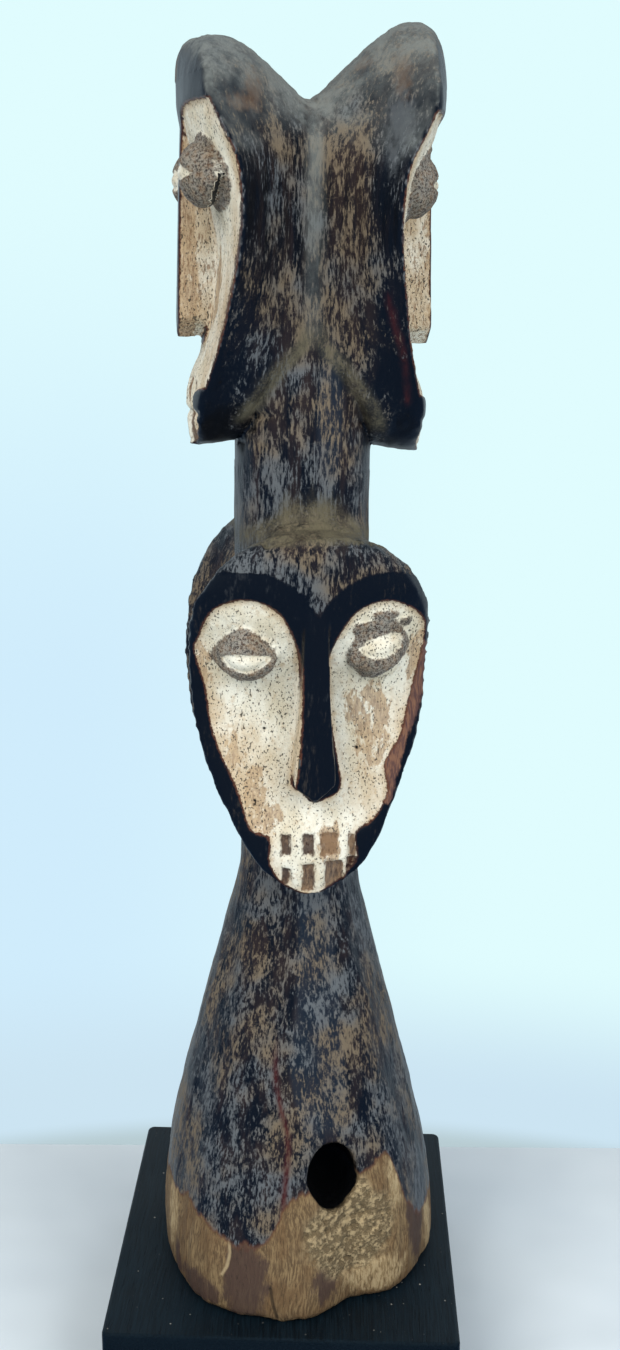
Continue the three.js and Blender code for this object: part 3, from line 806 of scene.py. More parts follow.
def mark_zones(mesh):
    """Stores each point's place among the zones, for the finish to read."""
    surface = Surface(mesh)
    faces, wood = face_zones(surface), wood_zones(surface)
    bend = surface.bend()
    height = surface.points[:, 2]
    low_red = np.exp(-(((wood["ridge_side"] + 0.6) / 0.6) ** 2)) * ease(height, 18, 26) * (1 - ease(height, 52, 62))
    values = dict(faces, **wood)
    values["lid"] = np.minimum(faces["lid"], 0.15 - faces["ball"])
    values["dust"] = np.maximum(wood["fillet"], wood["collar"])
    values["facet"] = np.maximum(wood["facet"], wood["neck_facet"])
    # Convex edges, where the finish paints rubbed wear and a highlight
    values["ridge"] = clamp(bend, 0, 2)
    # Concave places, where the finish paints shade
    values["hollow"] = clamp(-bend, 0, 2)
    values["red"] = np.maximum(low_red, 0.8 * np.exp(-((wood["red_line"] / 0.5) ** 2)))
    for name in ZONE_NAMES:
        attribute = mesh.attributes.new(name, "FLOAT", "POINT")
        attribute.data.foreach_set("value", values[name].astype(np.float32))


# Shader nodes


def put(tree, kind, settings=None, **inputs):
    """Adds a node; an input is a socket to link or a value, with _ for a space in its name."""
    node = tree.nodes.new(kind)
    for name, value in (settings or {}).items():
        setattr(node, name, value)
    for name, value in inputs.items():
        socket = node.inputs[int(name[1:])] if name[0] == "n" and name[1:].isdigit() else node.inputs[
            name.replace("_", " ")]
        if isinstance(value, bpy.types.NodeSocket):
            tree.links.new(value, socket)
        else:
            socket.default_value = value
    return node


def calc(tree, operation, a, b=0.0, c=0.0, clamped=False):
    node = put(tree, "ShaderNodeMath", {"operation": operation, "use_clamp": clamped}, n0=a, n1=b, n2=c)
    return node.outputs[0]


def fade(tree, value, low, high, to_low=0.0, to_high=1.0):
    """A smooth step of a value between two places."""
    node = put(tree, "ShaderNodeMapRange", {"interpolation_type": "SMOOTHSTEP"}, Value=value, From_Min=low,
               From_Max=high, To_Min=to_low, To_Max=to_high)
    return node.outputs["Result"]


def tint(tree, factor, a, b, mode="MIX"):
    node = put(tree, "ShaderNodeMix", {"data_type": "RGBA", "blend_type": mode, "clamp_factor": True}, n0=factor,
               n6=a, n7=b)
    return node.outputs[2]


def zone(tree, name):
    return put(tree, "ShaderNodeAttribute", {"attribute_name": name}).outputs["Fac"]


def millimetres(tree, stretch=(1, 1, 1)):
    """Object coordinates in millimetres, drawn out along an axis."""
    place = put(tree, "ShaderNodeTexCoord").outputs["Object"]
    scale = [1 / MM / part for part in stretch]
    return put(tree, "ShaderNodeMapping", Vector=place, Scale=scale).outputs[0]


def texture(tree, vector, size, detail=3.0, roughness=0.55, lacunarity=2.0):
    """Noise from 0 to 1 whose features have about the given size."""
    return put(tree, "ShaderNodeTexNoise", Vector=vector, Scale=1 / size, Detail=detail, Roughness=roughness,
               Lacunarity=lacunarity).outputs["Fac"]


def new_group(name, inputs, outputs):
    group = bpy.data.node_groups.new(name, "ShaderNodeTree")
    for label, kind, value in inputs:
        socket = group.interface.new_socket(label, in_out="INPUT", socket_type=kind)
        if value is not None:
            socket.default_value = value
    for label, kind in outputs:
        group.interface.new_socket(label, in_out="OUTPUT", socket_type=kind)
    entry = group.nodes.new("NodeGroupInput")
    leave = group.nodes.new("NodeGroupOutput")
    return group, entry.outputs, leave.inputs


def place_group(tree, group, **inputs):
    return put(tree, "ShaderNodeGroup", {"node_tree": group}, **inputs).outputs


def ragged_group():
    """A zone's edge, frayed by noise."""
    group, given, made = new_group(
        "ragged edge",
        (("Vector", "NodeSocketVector", None), ("Distance", "NodeSocketFloat", 0.0),
         ("Fray", "NodeSocketFloat", 0.4), ("Size", "NodeSocketFloat", 1.0), ("Softness", "NodeSocketFloat", 0.08)),
        (("Mask", "NodeSocketFloat"), ("Frayed Distance", "NodeSocketFloat")))
    scale = calc(group, "DIVIDE", 1.0, given["Size"])
    grain = put(group, "ShaderNodeTexNoise", Vector=given["Vector"], Scale=scale, Detail=5.0, Roughness=0.65)
    sway = calc(group, "MULTIPLY", calc(group, "SUBTRACT", grain.outputs["Fac"], 0.5), given["Fray"])
    distance = calc(group, "MULTIPLY_ADD", sway, 4.0, given["Distance"])
    low = calc(group, "MULTIPLY", given["Softness"], -1.0)
    group.links.new(fade(group, distance, low, given["Softness"]), made["Mask"])
    group.links.new(distance, made["Frayed Distance"])
    return group


def grain_group():
    """Wood fibre along Z: broad streaks, fine fibre and open pores."""
    group, given, made = new_group(
        "wood grain",
        (("Vector", "NodeSocketVector", None), ("Size", "NodeSocketFloat", 1.0),
         ("Stretch", "NodeSocketFloat", 12.0), ("Bend", "NodeSocketFloat", 1.0)),
        (("Streak", "NodeSocketFloat"), ("Fibre", "NodeSocketFloat"), ("Pore", "NodeSocketFloat")))
    parts = put(group, "ShaderNodeSeparateXYZ", Vector=given["Vector"])
    sway = put(group, "ShaderNodeTexNoise", Vector=given["Vector"], Scale=0.06, Detail=2.0)
    bend = calc(group, "MULTIPLY", calc(group, "SUBTRACT", sway.outputs["Fac"], 0.5), given["Bend"])
    across = calc(group, "MULTIPLY_ADD", bend, 6.0, parts.outputs["X"])
    along = calc(group, "DIVIDE", parts.outputs["Z"], given["Stretch"])
    drawn = put(group, "ShaderNodeCombineXYZ", X=across, Y=parts.outputs["Y"], Z=along).outputs[0]
    scale = calc(group, "DIVIDE", 1.0, given["Size"])
    streak = put(group, "ShaderNodeTexNoise", Vector=drawn, Scale=calc(group, "MULTIPLY", scale, 0.35), Detail=4.0,
                 Roughness=0.6)
    fibre = put(group, "ShaderNodeTexNoise", Vector=drawn, Scale=calc(group, "MULTIPLY", scale, 2.2), Detail=4.0,
                Roughness=0.7)
    pore = put(group, "ShaderNodeTexNoise", Vector=drawn, Scale=calc(group, "MULTIPLY", scale, 3.5), Detail=2.0)
    group.links.new(streak.outputs["Fac"], made["Streak"])
    group.links.new(fibre.outputs["Fac"], made["Fibre"])
    group.links.new(fade(group, pore.outputs["Fac"], 0.62, 0.7), made["Pore"])
    return group


def specks_group():
    """Scattered specks of uneven size."""
    group, given, made = new_group(
        "specks",
        (("Vector", "NodeSocketVector", None), ("Spacing", "NodeSocketFloat", 1.0),
         ("Share", "NodeSocketFloat", 0.3)),
        (("Mask", "NodeSocketFloat"),))
    cells = put(group, "ShaderNodeTexVoronoi", {"feature": "F1"}, Vector=given["Vector"],
                Scale=calc(group, "DIVIDE", 1.0, given["Spacing"]), Randomness=1.0)
    chance = put(group, "ShaderNodeSeparateColor", Color=cells.outputs["Color"]).outputs[0]
    reach = calc(group, "MULTIPLY", calc(group, "SUBTRACT", given["Share"], chance), 0.9)
    near = calc(group, "SUBTRACT", reach, cells.outputs["Distance"])
    group.links.new(fade(group, near, -0.04, 0.08), made["Mask"])
    return group


def new_material(name):
    material = bpy.data.materials.new(name)
    material.use_nodes = True
    tree = material.node_tree
    tree.nodes.clear()
    shader = tree.nodes.new("ShaderNodeBsdfPrincipled")
    leave = tree.nodes.new("ShaderNodeOutputMaterial")
    tree.links.new(shader.outputs["BSDF"], leave.inputs["Surface"])
    return material, tree, shader


def bumped(tree, shader, height):
    bump = put(tree, "ShaderNodeBump", Height=height, Strength=1.0, Distance=MM)
    tree.links.new(bump.outputs["Normal"], shader.inputs["Normal"])


def inverse(tree, value):
    return calc(tree, "SUBTRACT", 1.0, value)


def share_of(tree, value, share):
    return calc(tree, "MULTIPLY", value, share)


def painted(tree, tone, mask, paint, share=1.0):
    """A tone with a paint over it where the mask is 1."""
    if share != 1.0:
        mask = share_of(tree, mask, share)
    return tint(tree, mask, tone, paint)


class WoodPatterns:
    """The noises that the carved wood's finishes share, in millimetres."""

    def __init__(self, tree, groups):
        self.here = millimetres(tree)
        self.drawn = millimetres(tree, (1, 1, 2))
        self.grain = place_group(tree, groups["grain"], Vector=self.here, Size=0.9, Stretch=9.0, Bend=0.6)
        self.wide = texture(tree, self.here, 15, 3)
        self.cloud = texture(tree, millimetres(tree, (1, 1, 2.2)), 4.5, 4)
        self.short = texture(tree, millimetres(tree, (1, 1, 4.5)), 0.55, 4, 0.75)
        self.level = texture(tree, millimetres(tree, (7, 7, 1)), 0.4, 3, 0.6)
        self.fine = texture(tree, self.here, 0.42, 4, 0.7)
        self.brush = texture(tree, self.here, 1.3, 5, 0.65)


def patina_tone(tree, patterns, colours):
    """Handled dark wood: brown streaks, scratches, dust in the coves, rubbed edges with a painted highlight, a
    painted sheen on the smooth cuts, and grey dust with a painted sheen on the tops.
    """
    grain, cloud, wide, fine = patterns.grain, patterns.cloud, patterns.wide, patterns.fine
    scuff = zone(tree, "scuff")
    wood_side = inverse(tree, fade(tree, zone(tree, "clay"), -5.9, -5.2))
    rough_wood = share_of(tree, scuff, wood_side)
    streak = fade(tree, calc(tree, "MULTIPLY_ADD", wide, 0.6, grain["Streak"]), 0.66, 1.0)
    tone = painted(tree, colours.patina, share_of(tree, streak, rough_wood), colours.streak)
    # Smooth knife cuts tinted blue-grey: a painted sheen on the cut faces
    facet = fade(tree, zone(tree, "facet"), -0.3, 1.4)
    tone = painted(tree, tone, facet, colours.facet, 0.5)
    crowding = calc(tree, "MULTIPLY_ADD", cloud, 0.55, calc(tree, "MULTIPLY_ADD", rough_wood, 0.16, patterns.short))
    fleck = fade(tree, crowding, 0.86, 1.0)
    fleck = share_of(tree, fleck, calc(tree, "MULTIPLY_ADD", wood_side, 0.85, 0.15))
    scratch = calc(tree, "MULTIPLY_ADD", cloud, 0.5, patterns.level)
    scratch = share_of(tree, fade(tree, scratch, 0.84, 0.98), rough_wood)
    marks = calc(tree, "MAXIMUM", fleck, share_of(tree, scratch, 0.5))
    fleck_tone = tint(tree, fade(tree, wide, 0.4, 0.6), colours.fleck, colours.fleck_warm)
    tone = painted(tree, tone, marks, fleck_tone, 0.8)
    brown = place_group(tree, shared_groups()["ragged"], Vector=patterns.drawn, Distance=zone(tree, "brown"),
                        Fray=0.9, Size=1.5, Softness=0.7)["Mask"]
    tone = painted(tree, tone, brown, colours.smudge, 0.6)
    light = place_group(tree, shared_groups()["ragged"], Vector=patterns.drawn, Distance=zone(tree, "light"),
                        Fray=1.2, Size=1.2, Softness=0.9)["Mask"]
    tone = painted(tree, tone, light, colours.fleck, 0.4)
    red = share_of(tree, zone(tree, "red"), fade(tree, cloud, 0.3, 0.6, 0.3, 1.0))
    tone = painted(tree, tone, red, colours.red, 0.85)
    # Grey dust, and a painted sheen on the tops that face up
    grey_dust_and_top_sheen = share_of(tree, zone(tree, "grey_dust_and_top_sheen"), fade(tree, calc(tree, "ADD", patterns.brush, cloud), 0.75, 1.15, 0.45,
                                                     1.0))
    tone = painted(tree, tone, grey_dust_and_top_sheen, colours.grey_dust_and_top_sheen, 0.9)
    dust = share_of(tree, zone(tree, "dust"), fade(tree, calc(tree, "ADD", fine, cloud), 0.75, 1.2, 0.15, 1.0))
    tone = painted(tree, tone, dust, colours.dust)
    # Convex edges painted lighter: rubbed wear, and a painted highlight along them
    ridge = fade(tree, calc(tree, "MULTIPLY_ADD", fine, 0.5, zone(tree, "ridge")), 0.55, 1.0)
    tone = painted(tree, tone, ridge, colours.worn_edge_and_highlight, 0.55)
    return tone, fleck, calc(tree, "MAXIMUM", dust, grey_dust_and_top_sheen), facet


def bare_tone(tree, patterns, colours):
    """Wood without patina: fibres, stains, pale strips and decay, with painted shade in its concave places."""
    cloud, fine = patterns.cloud, patterns.fine
    ragged = shared_groups()["ragged"]
    tone = tint(tree, fade(tree, patterns.grain["Fibre"], 0.36, 0.62), colours.bare, colours.bare_dark)
    tone = painted(tree, tone, fade(tree, cloud, 0.4, 0.65), colours.bare_brown, 0.7)
    pale = place_group(tree, ragged, Vector=patterns.drawn, Distance=zone(tree, "pale"), Fray=1.6, Size=2.0,
                       Softness=0.8)["Mask"]
    light_fibre = tint(tree, fade(tree, patterns.short, 0.42, 0.6), colours.bare_light, colours.bare)
    tone = painted(tree, tone, pale, light_fibre, 0.8)
    stain = place_group(tree, ragged, Vector=patterns.drawn, Distance=zone(tree, "stain"), Fray=1.6, Size=1.8,
                        Softness=0.9)["Mask"]
    tone = painted(tree, tone, stain, colours.bare_stain, 0.85)
    rot = fade(tree, zone(tree, "rot"), -0.5, 2.5)
    crumb = fade(tree, patterns.brush, 0.42, 0.6)
    rotten = tint(tree, crumb, colours.bare_light, colours.rot)
    rotten = painted(tree, rotten, fade(tree, fine, 0.58, 0.68), colours.rot_dark, 0.8)
    tone = painted(tree, tone, rot, rotten, 0.75)
    # Dark cracks, and painted shade in concave places
    line = calc(tree, "MAXIMUM", inverse(tree, fade(tree, zone(tree, "crack"), 0.15, 0.5)), fade(
        tree, zone(tree, "hollow"), 0.35, 0.9))
    tone = painted(tree, tone, line, colours.rot_dark, 0.7)
    edge = inverse(tree, fade(tree, zone(tree, "slice"), 0.1, 0.5))
    tone = painted(tree, tone, edge, colours.bare_light, 0.7)
    specks = fade(tree, calc(tree, "MULTIPLY_ADD", cloud, 0.3, patterns.short), 0.74, 0.82)
    return painted(tree, tone, specks, colours.rot_dark, 0.55), rot, crumb


def chalk_tone(tree, patterns, colours, clay_edge):
    """White clay: stained and thin in places, speckled, with lids and mouth panels, and painted shade in its concave
    places.
    """
    cloud, fine, wide = patterns.cloud, patterns.fine, patterns.wide
    ragged = shared_groups()["ragged"]
    tone = tint(tree, fade(tree, cloud, 0.35, 0.68), colours.clay, colours.clay_shade)
    tone = painted(tree, tone, fade(tree, patterns.brush, 0.52, 0.72), colours.tan, 0.55)
    worn = place_group(tree, ragged, Vector=patterns.drawn, Distance=zone(tree, "worn"), Fray=1.5, Size=1.4,
                       Softness=0.35)["Mask"]
    under = tint(tree, fade(tree, patterns.grain["Fibre"], 0.4, 0.62), colours.tan, colours.tan_dark)
    tone = painted(tree, tone, worn, under, 0.8)
    frayed = clay_edge["Frayed Distance"]
    near_edge = share_of(tree, inverse(tree, fade(tree, frayed, 0.1, 1.6)), fade(tree, cloud, 0.3, 0.6, 0.3, 1.0))
    tone = painted(tree, tone, near_edge, colours.tan, 0.7)
    grain = share_of(tree, zone(tree, "open"), fade(tree, patterns.short, 0.5, 0.62))
    tone = painted(tree, tone, grain, colours.tan_dark, 0.8)
    dots = texture(tree, millimetres(tree, (1, 1, 1.7)), 0.34, 1.5, 0.5)
    dots = calc(tree, "MULTIPLY_ADD", calc(tree, "ADD", cloud, wide), 0.14, dots)
    pin = fade(tree, dots, 0.76, 0.81)
    tone = painted(tree, tone, pin, colours.speck, 0.85)
    tone = painted(tree, tone, fade(tree, fine, 0.58, 0.72), colours.tan_dark, 0.5)
    # Painted shade in concave places
    tone = painted(tree, tone, fade(tree, zone(tree, "hollow"), 0.3, 0.9), colours.tan_dark, 0.7)
    panel = place_group(tree, ragged, Vector=patterns.drawn, Distance=zone(tree, "panel"), Fray=0.5, Size=0.9,
                        Softness=0.28)["Mask"]
    paleness = calc(tree, "MULTIPLY_ADD", calc(tree, "SUBTRACT", patterns.short, 0.5), 2.4, zone(tree, "tone"))
    tooth = tint(tree, fade(tree, paleness, 0.0, 0.9), colours.panel, colours.tan_dark)
    tone = painted(tree, tone, panel, tooth, 0.92)
    lid = place_group(tree, ragged, Vector=patterns.here, Distance=zone(tree, "lid"), Fray=0.42, Size=0.9,
                      Softness=0.22)["Mask"]
    lid_tone = tint(tree, fade(tree, patterns.brush, 0.4, 0.66), colours.lid, colours.lid_brown)
    tone = painted(tree, tone, share_of(tree, lid, fade(tree, fine, 0.36, 0.6, 1.0, 0.65)), lid_tone)
    return painted(tree, tone, fade(tree, zone(tree, "pit"), -0.08, 0.08), colours.patina), pin


def carved_wood(groups, colours):
    """Dark patina, whitened masks, brown lids and bare foot, each frayed into the next."""
    material, tree, shader = new_material("carved wood")
    patterns = WoodPatterns(tree, groups)
    patina, fleck, dust_and_top_sheen_mask, facet = patina_tone(tree, patterns, colours)
    bare_wood, rot, crumb = bare_tone(tree, patterns, colours)
    bare_edge = place_group(tree, groups["ragged"], Vector=patterns.drawn, Distance=zone(tree, "bare"), Fray=1.2,
                            Size=2.2, Softness=0.6)
    bare = bare_edge["Mask"]
    wood = tint(tree, bare, patina, bare_wood)
    rim_of_patina = inverse(tree, fade(tree, calc(tree, "ABSOLUTE", bare_edge["Frayed Distance"]), 0.0, 1.0))
    wood = painted(tree, wood, rim_of_patina, colours.brown_edge, 0.5)
    # Painted shade: near black inside the knot hole
    hole_shade = fade(tree, zone(tree, "hole_shade"), 1.0, 3.0)
    wood = painted(tree, wood, hole_shade, colours.hole_shade)
    band = place_group(tree, groups["ragged"], Vector=patterns.drawn, Distance=zone(tree, "band"), Fray=0.7,
                       Size=1.2, Softness=0.3)["Mask"]
    band_tone = tint(tree, fade(tree, patterns.grain["Fibre"], 0.4, 0.62), colours.band, colours.band_light)
    wood = painted(tree, wood, band, band_tone, 0.95)

    clay_edge = place_group(tree, groups["ragged"], Vector=patterns.here, Distance=zone(tree, "clay"), Fray=0.26,
                            Size=0.8, Softness=0.08)
    clay = clay_edge["Mask"]
    chalk, pin = chalk_tone(tree, patterns, colours, clay_edge)
    colour = tint(tree, clay, wood, chalk)
    from_line = calc(tree, "ABSOLUTE", calc(tree, "ADD", clay_edge["Frayed Distance"], 0.1))
    line = share_of(tree, inverse(tree, fade(tree, from_line, 0.0, 0.34)), fade(tree, patterns.cloud, 0.35, 0.55,
                                                                               0.35, 1.0))
    colour = painted(tree, colour, line, colours.brown_edge, 0.9)
    tree.links.new(colour, shader.inputs["Base Color"])
    shader.inputs["Specular IOR Level"].default_value = 0.42

    # Gloss: rubbed black wood shines a little, clay, dust and bare wood don't
    gloss = calc(tree, "MULTIPLY_ADD", patterns.grain["Streak"], 0.25, 0.26)
    gloss = calc(tree, "MULTIPLY_ADD", fleck, 0.3, gloss)
    dull = calc(tree, "MAXIMUM", calc(tree, "MAXIMUM", clay, bare), share_of(tree, dust_and_top_sheen_mask, 0.9))
    rough = put(tree, "ShaderNodeMix", {"data_type": "FLOAT"}, n0=dull, n2=gloss, n3=0.88).outputs[0]
    tree.links.new(rough, shader.inputs["Roughness"])

    # Fine relief in millimetres
    wood_side = inverse(tree, fade(tree, zone(tree, "clay"), -5.9, -5.2))
    depth = calc(tree, "MULTIPLY_ADD", share_of(tree, wood_side, zone(tree, "scuff")), 0.2, 0.03)
    depth = share_of(tree, depth, calc(tree, "MULTIPLY_ADD", facet, -0.6, 1.0))
    wood_relief = calc(tree, "ADD", patterns.grain["Fibre"], share_of(tree, patterns.short, 0.6))
    wood_relief = share_of(tree, wood_relief, depth)
    chalk_relief = calc(tree, "MULTIPLY_ADD", patterns.brush, 0.3, share_of(tree, patterns.fine, 0.16))
    chalk_relief = calc(tree, "MULTIPLY_ADD", pin, -0.1, chalk_relief)
    relief = put(tree, "ShaderNodeMix", {"data_type": "FLOAT"}, n0=clay, n2=wood_relief, n3=chalk_relief).outputs[0]
    crumbs = share_of(tree, share_of(tree, rot, crumb), -0.3)
    bumped(tree, shader, calc(tree, "ADD", relief, crumbs))
    return material


def stained_wood(groups, colours):
    """Blue-black stain over fine grain that runs from front to back, with dust on the top."""
    material, tree, shader = new_material("stained wood")
    place = put(tree, "ShaderNodeTexCoord").outputs["Object"]
    laid = put(tree, "ShaderNodeMapping", Vector=place, Scale=(1000, 1000, 1000), Rotation=(math.pi / 2, 0, 0))
    here = laid.outputs[0]
    fibres = place_group(tree, groups["grain"], Vector=here, Size=0.8, Stretch=26.0, Bend=0.3)
    cloud = texture(tree, here, 14, 4)
    tone = tint(tree, fade(tree, fibres["Fibre"], 0.35, 0.7), colours.stain, colours.stain_light)
    tone = painted(tree, tone, fade(tree, cloud, 0.4, 0.7), colours.stain_light, 0.4)
    tone = painted(tree, tone, fibres["Pore"], colours.stain, 0.7)
    up = put(tree, "ShaderNodeSeparateXYZ", Vector=put(tree, "ShaderNodeNewGeometry").outputs["Normal"]).outputs["Z"]
    specks = place_group(tree, groups["specks"], Vector=here, Spacing=1.3, Share=0.2)["Mask"]
    dust = share_of(tree, share_of(tree, specks, fade(tree, up, 0.6, 0.95)), fade(tree, cloud, 0.4, 0.6, 0.15, 0.8))
    tone = tint(tree, dust, tone, colours.dust)
    tree.links.new(tone, shader.inputs["Base Color"])
    shader.inputs["Specular IOR Level"].default_value = 0.2
    rough = calc(tree, "MULTIPLY_ADD", cloud, 0.2, 0.45)
    tree.links.new(rough, shader.inputs["Roughness"])
    bumped(tree, shader, calc(tree, "MULTIPLY_ADD", fibres["Pore"], -0.05, share_of(tree, fibres["Fibre"], 0.05)))
    return material


def linen(colours):
    """The pale cloth that the plinth stands on."""
    material, tree, shader = new_material("pale cloth")
    here = millimetres(tree)
    soft = texture(tree, here, 60, 3)
    tree.links.new(tint(tree, soft, colours.floor, colours.floor_shade), shader.inputs["Base Color"])
    shader.inputs["Roughness"].default_value = 0.9
    bumped(tree, shader, calc(tree, "MULTIPLY", texture(tree, here, 45, 2), 3.0))
    return material


# What a user would change


def colour(name, red, green, blue, description):
    """A colour given as seen on a screen, 0 to 255."""
    values = []
    for part in (red, green, blue):
        part /= 255
        values.append(part / 12.92 if part <= 0.04045 else ((part + 0.055) / 1.055) ** 2.4)
    return FloatVectorProperty(name=name, description=description, subtype="COLOR", size=4, min=0.0, max=1.0,
                               default=(*values, 1.0))


def length(name, millimetre, description):
    return FloatProperty(name=name, description=description, default=millimetre * MM, min=0.0, precision=5,
                         unit="LENGTH")


class FigureSizes(bpy.types.PropertyGroup):
    voxel: FloatProperty(name="Detail", description="Size of the finest form, in millimetres", default=0.45, min=0.3)
    quick_voxel: FloatProperty(name="Quick detail", description="The same for a quick look", default=0.7, min=0.3)
    most_triangles: IntProperty(name="Most triangles", description="The mesh is thinned to this", default=190000)
    recess_depth: FloatProperty(name="Recess", description="Depth of the whitened hearts, in millimetres",
                                default=0.55)
    tooth_depth: FloatProperty(name="Tooth panels", description="Depth of the mouth's panels, in millimetres",
                               default=0.75)
    knife_depth: FloatProperty(name="Knife planes", description="Depth of the broad cuts, in millimetres",
                               default=0.2)
    grain_depth: FloatProperty(name="Furrows", description="Depth of the upright furrows, in millimetres",
                               default=0.13)


class FigureColours(bpy.types.PropertyGroup):
    patina: colour("Patina", 9, 11, 15, "Handled dark wood")
    streak: colour("Streak", 46, 34, 28, "Brown streaks in the dark wood")
    fleck: colour("Fleck", 98, 102, 104, "Grey scratches in the patina")
    fleck_warm: colour("Warm fleck", 118, 104, 84, "Brown scratches in the patina")
    # Smooth knife cuts, coloured blue-grey as a painted sheen
    facet: colour("Facet", 34, 44, 54, "Smooth knife cuts")
    smudge: colour("Smudge", 92, 66, 42, "Brown rubbed places on the crowns")
    red: colour("Red", 72, 22, 14, "Red-brown lines")
    # Rubbed edges, and a painted highlight along the convex edges
    worn_edge_and_highlight: colour("Worn edge", 118, 120, 120, "Rubbed edges")
    dust: colour("Dust", 92, 86, 68, "Dust in the coves")
    # Grey dust on the tops, and a painted sheen where they face up
    grey_dust_and_top_sheen: colour("Bloom", 112, 116, 112, "Grey dust on the tops")
    clay: colour("Clay", 224, 220, 204, "White clay")
    clay_shade: colour("Clay shade", 206, 196, 172, "Thinner clay")
    tan: colour("Tan", 182, 156, 122, "Wood that shows through the clay")
    tan_dark: colour("Dark tan", 126, 98, 72, "Its darker fibres")
    speck: colour("Speck", 60, 58, 52, "Pinholes in the clay")
    lid: colour("Lid", 46, 38, 38, "Darkened lids")
    lid_brown: colour("Brown lid", 92, 68, 50, "Where the lids are worn")
    panel: colour("Panel", 52, 30, 24, "Sunk panels of the mouth")
    brown_edge: colour("Brown edge", 88, 50, 30, "Worn line between clay and patina")
    band: colour("Band", 84, 58, 52, "Worn band at the right cheek")
    band_light: colour("Light band", 124, 88, 66, "Its paler fibres")
    bare: colour("Bare wood", 132, 110, 78, "Wood without patina")
    bare_light: colour("Light bare wood", 172, 152, 116, "Its palest strips")
    bare_brown: colour("Brown bare wood", 100, 76, 50, "Its browner patches")
    bare_dark: colour("Bare wood fibre", 84, 66, 46, "Its darker fibres")
    bare_stain: colour("Stain", 66, 50, 44, "Stained patches of the foot")
    rot: colour("Rot", 104, 90, 66, "Decayed wood")
    rot_dark: colour("Dark rot", 44, 36, 26, "Its pits")
    # Painted shade inside the knot hole
    hole_shade: colour("Hollow", 6, 5, 4, "Inside of the knot hole")


class PlinthSettings(bpy.types.PropertyGroup):
    side: length("Side", 75, "Length of a side")
    height: length("Height", 25, "Thickness")
    corner: length("Corner", 1.6, "Radius of the upright corners")
    edge: length("Edge", 0.8, "Radius of the other edges")
    stain: colour("Stain", 5, 12, 17, "Blue-black stain")
    stain_light: colour("Light stain", 14, 26, 33, "Stain where it is thin")
    dust: colour("Dust", 150, 148, 140, "Dust specks")


class StageSettings(bpy.types.PropertyGroup):
    floor: colour("Floor", 222, 230, 232, "Pale cloth")
    floor_shade: colour("Floor shade", 204, 214, 220, "Its soft folds")
    wall: colour("Backdrop", 224, 252, 254, "What shows behind")
    wall_left: colour("Left backdrop", 208, 236, 252, "The same at the left")
    # Painted shade near the floor, and a painted shadow band at the backdrop's foot
    wall_low_shade: colour("Low backdrop", 204, 228, 242, "The same near the floor")
    wall_foot_shadow: colour("Foot of the backdrop", 184, 204, 210, "The same at the floor's far edge")
    focal_length: FloatProperty(name="Focal length", description="Millimetres, for a 36 mm frame", default=37.568)


def settings():
    return bpy.context.scene.carved_figure


class CarvedFigureSettings(bpy.types.PropertyGroup):
    figure: PointerProperty(type=FigureSizes)
    finish: PointerProperty(type=FigureColours)
    plinth: PointerProperty(type=PlinthSettings)
    stage: PointerProperty(type=StageSettings)


def shared_groups():
    made = {}
    for key, name, make in (("ragged", "ragged edge", ragged_group), ("grain", "wood grain", grain_group),
                            ("specks", "specks", specks_group)):
        made[key] = bpy.data.node_groups.get(name) or make()
    return made


class CARVING_OT_figure(bpy.types.Operator):
    """Makes the carved figure"""

    bl_idname = "carving.figure"
    bl_label = "Carved figure"

    def execute(self, context):
        sizes = settings().figure
        mesh = joined_forms(sizes.voxel)
        carve(Surface(mesh), sizes)
        mesh = thinned(mesh, sizes.most_triangles)
        mark_zones(mesh)
        mesh.polygons.foreach_set("use_smooth", [True] * len(mesh.polygons))
        place = (Matrix.Translation((FIGURE_PLACE[0] * MM, FIGURE_PLACE[1] * MM, (PLINTH_TOP + SEAT_GAP) * MM))
                 @ Matrix.Rotation(FIGURE_TURN, 4, "Z") @ Matrix.Scale(MM, 4))
        mesh.transform(place)
        mesh.name = "carved_figure"
        piece = link(mesh, "carved_figure")
        piece.data.materials.clear()
        piece.data.materials.append(carved_wood(shared_groups(), settings().finish))
        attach(piece, "root")
        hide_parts("figure")
        return {"FINISHED"}


class CARVING_OT_plinth(bpy.types.Operator):
    """Makes the square plinth"""

    bl_idname = "carving.plinth"
    bl_label = "Square plinth"

    def execute(self, context):
        sizes = settings().plinth
        body = bmesh.new()
        bmesh.ops.create_cube(body, size=1.0)
        bmesh.ops.scale(body, verts=body.verts, vec=(sizes.side, sizes.side, sizes.height))
        bmesh.ops.translate(body, verts=body.verts, vec=(0, 0, sizes.height / 2))
        upright = [edge for edge in body.edges if abs(edge.verts[0].co.z - edge.verts[1].co.z) > sizes.height / 2]
        bmesh.ops.bevel(body, geom=upright, offset=sizes.corner, offset_type="OFFSET", affect="EDGES", segments=8,
                        profile=0.5, material=-1)
        level = [edge for edge in body.edges if abs(edge.verts[0].co.z - edge.verts[1].co.z) < sizes.edge / 2]
        bmesh.ops.bevel(body, geom=level, offset=sizes.edge, offset_type="OFFSET", affect="EDGES", segments=6,
                        profile=0.5, material=-1)
        for face in body.faces:
            face.smooth = True
        mesh = mesh_from(body, "square_plinth")
        mesh.set_sharp_from_angle(angle=math.radians(40))
        piece = link(mesh, "square_plinth")
        piece.data.materials.append(stained_wood(shared_groups(), sizes))
        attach(piece, "root")
        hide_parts("plinth")
        return {"FINISHED"}


def camera_turn(yaw, pitch, roll):
    """A camera's turn from a level look along +Y."""
    look = Matrix.Rotation(math.radians(yaw), 3, "Z") @ Matrix.Rotation(math.radians(-pitch), 3, "X")
    look = look @ Matrix.Rotation(math.radians(roll), 3, "Y")
    return (look @ Matrix.Rotation(math.pi / 2, 3, "X")).to_4x4()


